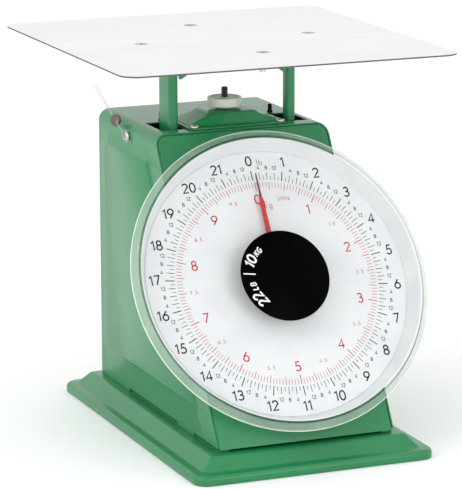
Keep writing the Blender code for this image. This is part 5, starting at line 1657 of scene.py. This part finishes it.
@dataclass
class Seal:
    """The lead seal on its twisted wire, and the screw that it secures."""

    shop: Workshop

    def build(self) -> None:
        """Builds and places the seal, its screw and its wires."""
        palette = self.shop.palette
        low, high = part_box("lead_seal")
        centre = (low + high) / 2
        radius, half = (high.y - low.y) / 2, (high.x - low.x) / 2
        rim = [(0.0, half * 0.72), (radius * 0.55, half * 0.78), (radius * 0.72, half)]
        rim += [(radius * 0.9, half * 0.9), (radius, half * 0.45), (radius * 0.985, 0.0)]
        profile = rim + [(r, -h) for r, h in reversed(rim[:-1])]
        place = Matrix.Translation(centre) @ facing(Vector((-0.72, -0.66, 0.2)))
        disc = self.shop.turned("crimped_seal", softened(profile, 0.3 * MM, 3), palette.lead, place, 48)
        settle(disc, "frame", "seal_lead", "lead_seal")
        low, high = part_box("seal_screw")
        head = ScrewHead((high.y - low.y) / 2, 2.2 * MM, 1.5 * MM, 6.0 * MM, Drive.SLOT)
        at = Vector((low.x + head.height, (low.y + high.y) / 2, (low.z + high.z) / 2))
        leftwards = (0.0, -math.pi / 2, 0.0)
        self.shop.screw_set("sealed_screw", [at], head, leftwards, "frame", ["seal_screw"])
        self.build_wires(at, centre)

    def build_wires(self, screw: Vector, seal: Vector) -> None:
        """Two thin wires: looped round the screw, twisted up to the seal, then parting to loose ends."""
        low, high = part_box("seal_wire")
        end = Vector((low.x + 0.6 * MM, high.y - 3.6 * MM, high.z - 1.4 * MM))
        away = (seal - screw).normalized()
        across = RIGHT.cross(away).normalized()
        loop_radius, twist = 4.1 * MM, 0.5 * MM
        start = screw + Vector((-1.5 * MM, 0.0, 0.0))
        for side, name, nodes in ((-1.0, "seal_strand_1", ["seal_wire"]), (1.0, "seal_strand_2", [])):
            points = [start - away * 8.0 * MM + across * side * 1.2 * MM]
            for angle in (math.pi * step / 12 for step in range(13)):
                round_screw = across * math.sin(angle) * side - away * math.cos(angle)
                points.append(start + round_screw * loop_radius)
            for share in (step / 24 for step in range(1, 25)):
                sway = across * (side * math.cos(share * 14.0) * twist)
                points.append(start.lerp(seal, share) + away * loop_radius * (1 - share) + sway)
            for share in (step / 10 for step in range(1, 11)):
                bow = Vector((-1.2 * MM, 0.0, 1.6 * MM)) * math.sin(math.pi * share)
                parting = Vector((0.0, side * 3.2 * MM, side * -0.8 * MM)) * share
                points.append(seal.lerp(end, share) + bow + parting)
            strand = place_object(name, self.wire(name, points, 0.2 * MM), self.shop.palette.zinc)
            settle(strand, "frame", "zinc_steel", *nodes)

    @staticmethod
    def wire(name: str, points: Sequence[Vector], radius: float) -> Mesh:
        """A round wire through points, as a closed mesh."""
        curve = bpy.data.curves.new(name, "CURVE")
        curve.dimensions = "3D"
        curve.bevel_depth = radius
        curve.bevel_resolution = 2
        curve.use_fill_caps = True
        spline = curve.splines.new("POLY")
        spline.points.add(len(points) - 1)
        for point, place in zip(spline.points, points):
            point.co = (*place, 1.0)
        carrier = bpy.data.objects.new(name, curve)
        bpy.context.scene.collection.objects.link(carrier)
        return baked(carrier, name)


class HiddenWorks:
    """The movement, stays and spring fittings inside the case, which keep their nodes' shapes."""

    @staticmethod
    def dress(palette: Palette) -> None:
        """Gives each node that is still shown the finish of its slot."""
        by_slot = {
            "green_enamel": palette.green, "stainless": palette.stainless,
            "dial_white": palette.dial_card, "pointer_red": palette.pointer_red,
            "black_plastic": palette.rubber, "ivory_plastic": palette.ivory,
            "zinc_steel": palette.zinc, "dark_steel": palette.dark_steel, "brass": palette.brass,
            "seal_lead": palette.lead,
        }
        for entry in frame["record"]["subparts"]:
            node, slot = entry["node"], entry["material_slot"]
            if node in REPLACED or slot not in by_slot:
                continue
            materials = frame["nodes"][node].data.materials
            materials.clear()
            materials.append(by_slot[slot])
            LOG.info("%s keeps its node's shape in %s", node, by_slot[slot].name)


# Camera and studio


@dataclass(frozen=True)
class Viewpoint:
    """The camera: turned right of the scale's front, above it and looking down a little."""

    place: Point3 = (-0.7825, -1.8985, 0.5863)
    yaw: float = math.radians(22.30)
    pitch: float = math.radians(12.69)
    roll: float = math.radians(-0.21)
    lens: float = 225.93865
    sensor: float = 36.0
    reach: float = 20.0

    def build(self) -> None:
        """Makes the camera and gives it to the scene."""
        flat = math.cos(self.pitch)
        forward = Vector((math.sin(self.yaw) * flat, math.cos(self.yaw) * flat, -math.sin(self.pitch)))
        level = Vector((math.cos(self.yaw), -math.sin(self.yaw), 0.0))
        above = level.cross(forward)
        right = level * math.cos(self.roll) + above * math.sin(self.roll)
        up = above * math.cos(self.roll) - level * math.sin(self.roll)
        data = bpy.data.cameras.new("camera")
        data.sensor_width = self.sensor
        data.lens = self.lens
        data.clip_end = self.reach
        camera = bpy.data.objects.new("camera", data)
        bpy.context.scene.collection.objects.link(camera)
        turn = Matrix((right, up, -forward)).transposed()
        camera.matrix_world = Matrix.Translation(self.place) @ turn.to_4x4()
        bpy.context.scene.camera = camera


@dataclass(frozen=True)
class Studio:
    """A pale sweep and soft lamps."""

    floor_size: float = 14.0
    sky: float = 1.06

    def build(self) -> None:
        """Makes the floor, the sky and the lamps."""
        bpy.context.scene.view_settings.view_transform = "Standard"
        g = Graph("studio_floor")
        tone = g.tint(g.noise(3.0, 2.0) * 0.2, (0.98, 0.98, 0.98, 1.0), (0.96, 0.96, 0.96, 1.0))
        floor_finish = g.surface(g.principled({"Base Color": tone, "Roughness": 0.8}))
        half = self.floor_size / 2
        mesh = bpy.data.meshes.new("studio_floor")
        corners = [(-half, -half, 0), (half, -half, 0), (half, half, 0), (-half, half, 0)]
        mesh.from_pydata(corners, [], [(0, 1, 2, 3)])
        floor = place_object("studio_floor", mesh, floor_finish)
        floor.location.z = -0.2 * MM
        world = bpy.data.worlds.new("studio_sky")
        world.use_nodes = True
        background = world.node_tree.nodes["Background"]
        background.inputs["Color"].default_value = WHITE
        background.inputs["Strength"].default_value = self.sky
        bpy.context.scene.world = world
        self.lamp("left_window", (-1.6, -0.4, 1.0), (0.0, 0.0, 0.12), 1.4, 9.0)
        self.lamp("front_fill", (0.5, -2.2, 0.7), (0.0, 0.0, 0.1), 1.2, 8.0)

    @staticmethod
    def lamp(name: str, place: Point3, target: Point3, size: float, power: float) -> None:
        """A square soft lamp that faces a target."""
        data = bpy.data.lights.new(name, "AREA")
        data.shape = "SQUARE"
        data.size = size
        data.energy = power
        lamp = bpy.data.objects.new(name, data)
        bpy.context.scene.collection.objects.link(lamp)
        turn = facing(Vector(target) - Vector(place), "-Z")
        lamp.matrix_world = Matrix.Translation(place) @ turn


def main() -> None:
    """Builds the studio and every sub-assembly in order."""
    logging.basicConfig(level=logging.INFO, format="%(message)s")
    Viewpoint().build()
    Studio().build()
    shop = Workshop()
    Housing(shop).build()
    Dial(shop).build()
    ZeroAdjuster(shop).build()
    Platform(shop).build()
    Seal(shop).build()
    HiddenWorks.dress(shop.palette)


if __name__ == "__main__":
    main()
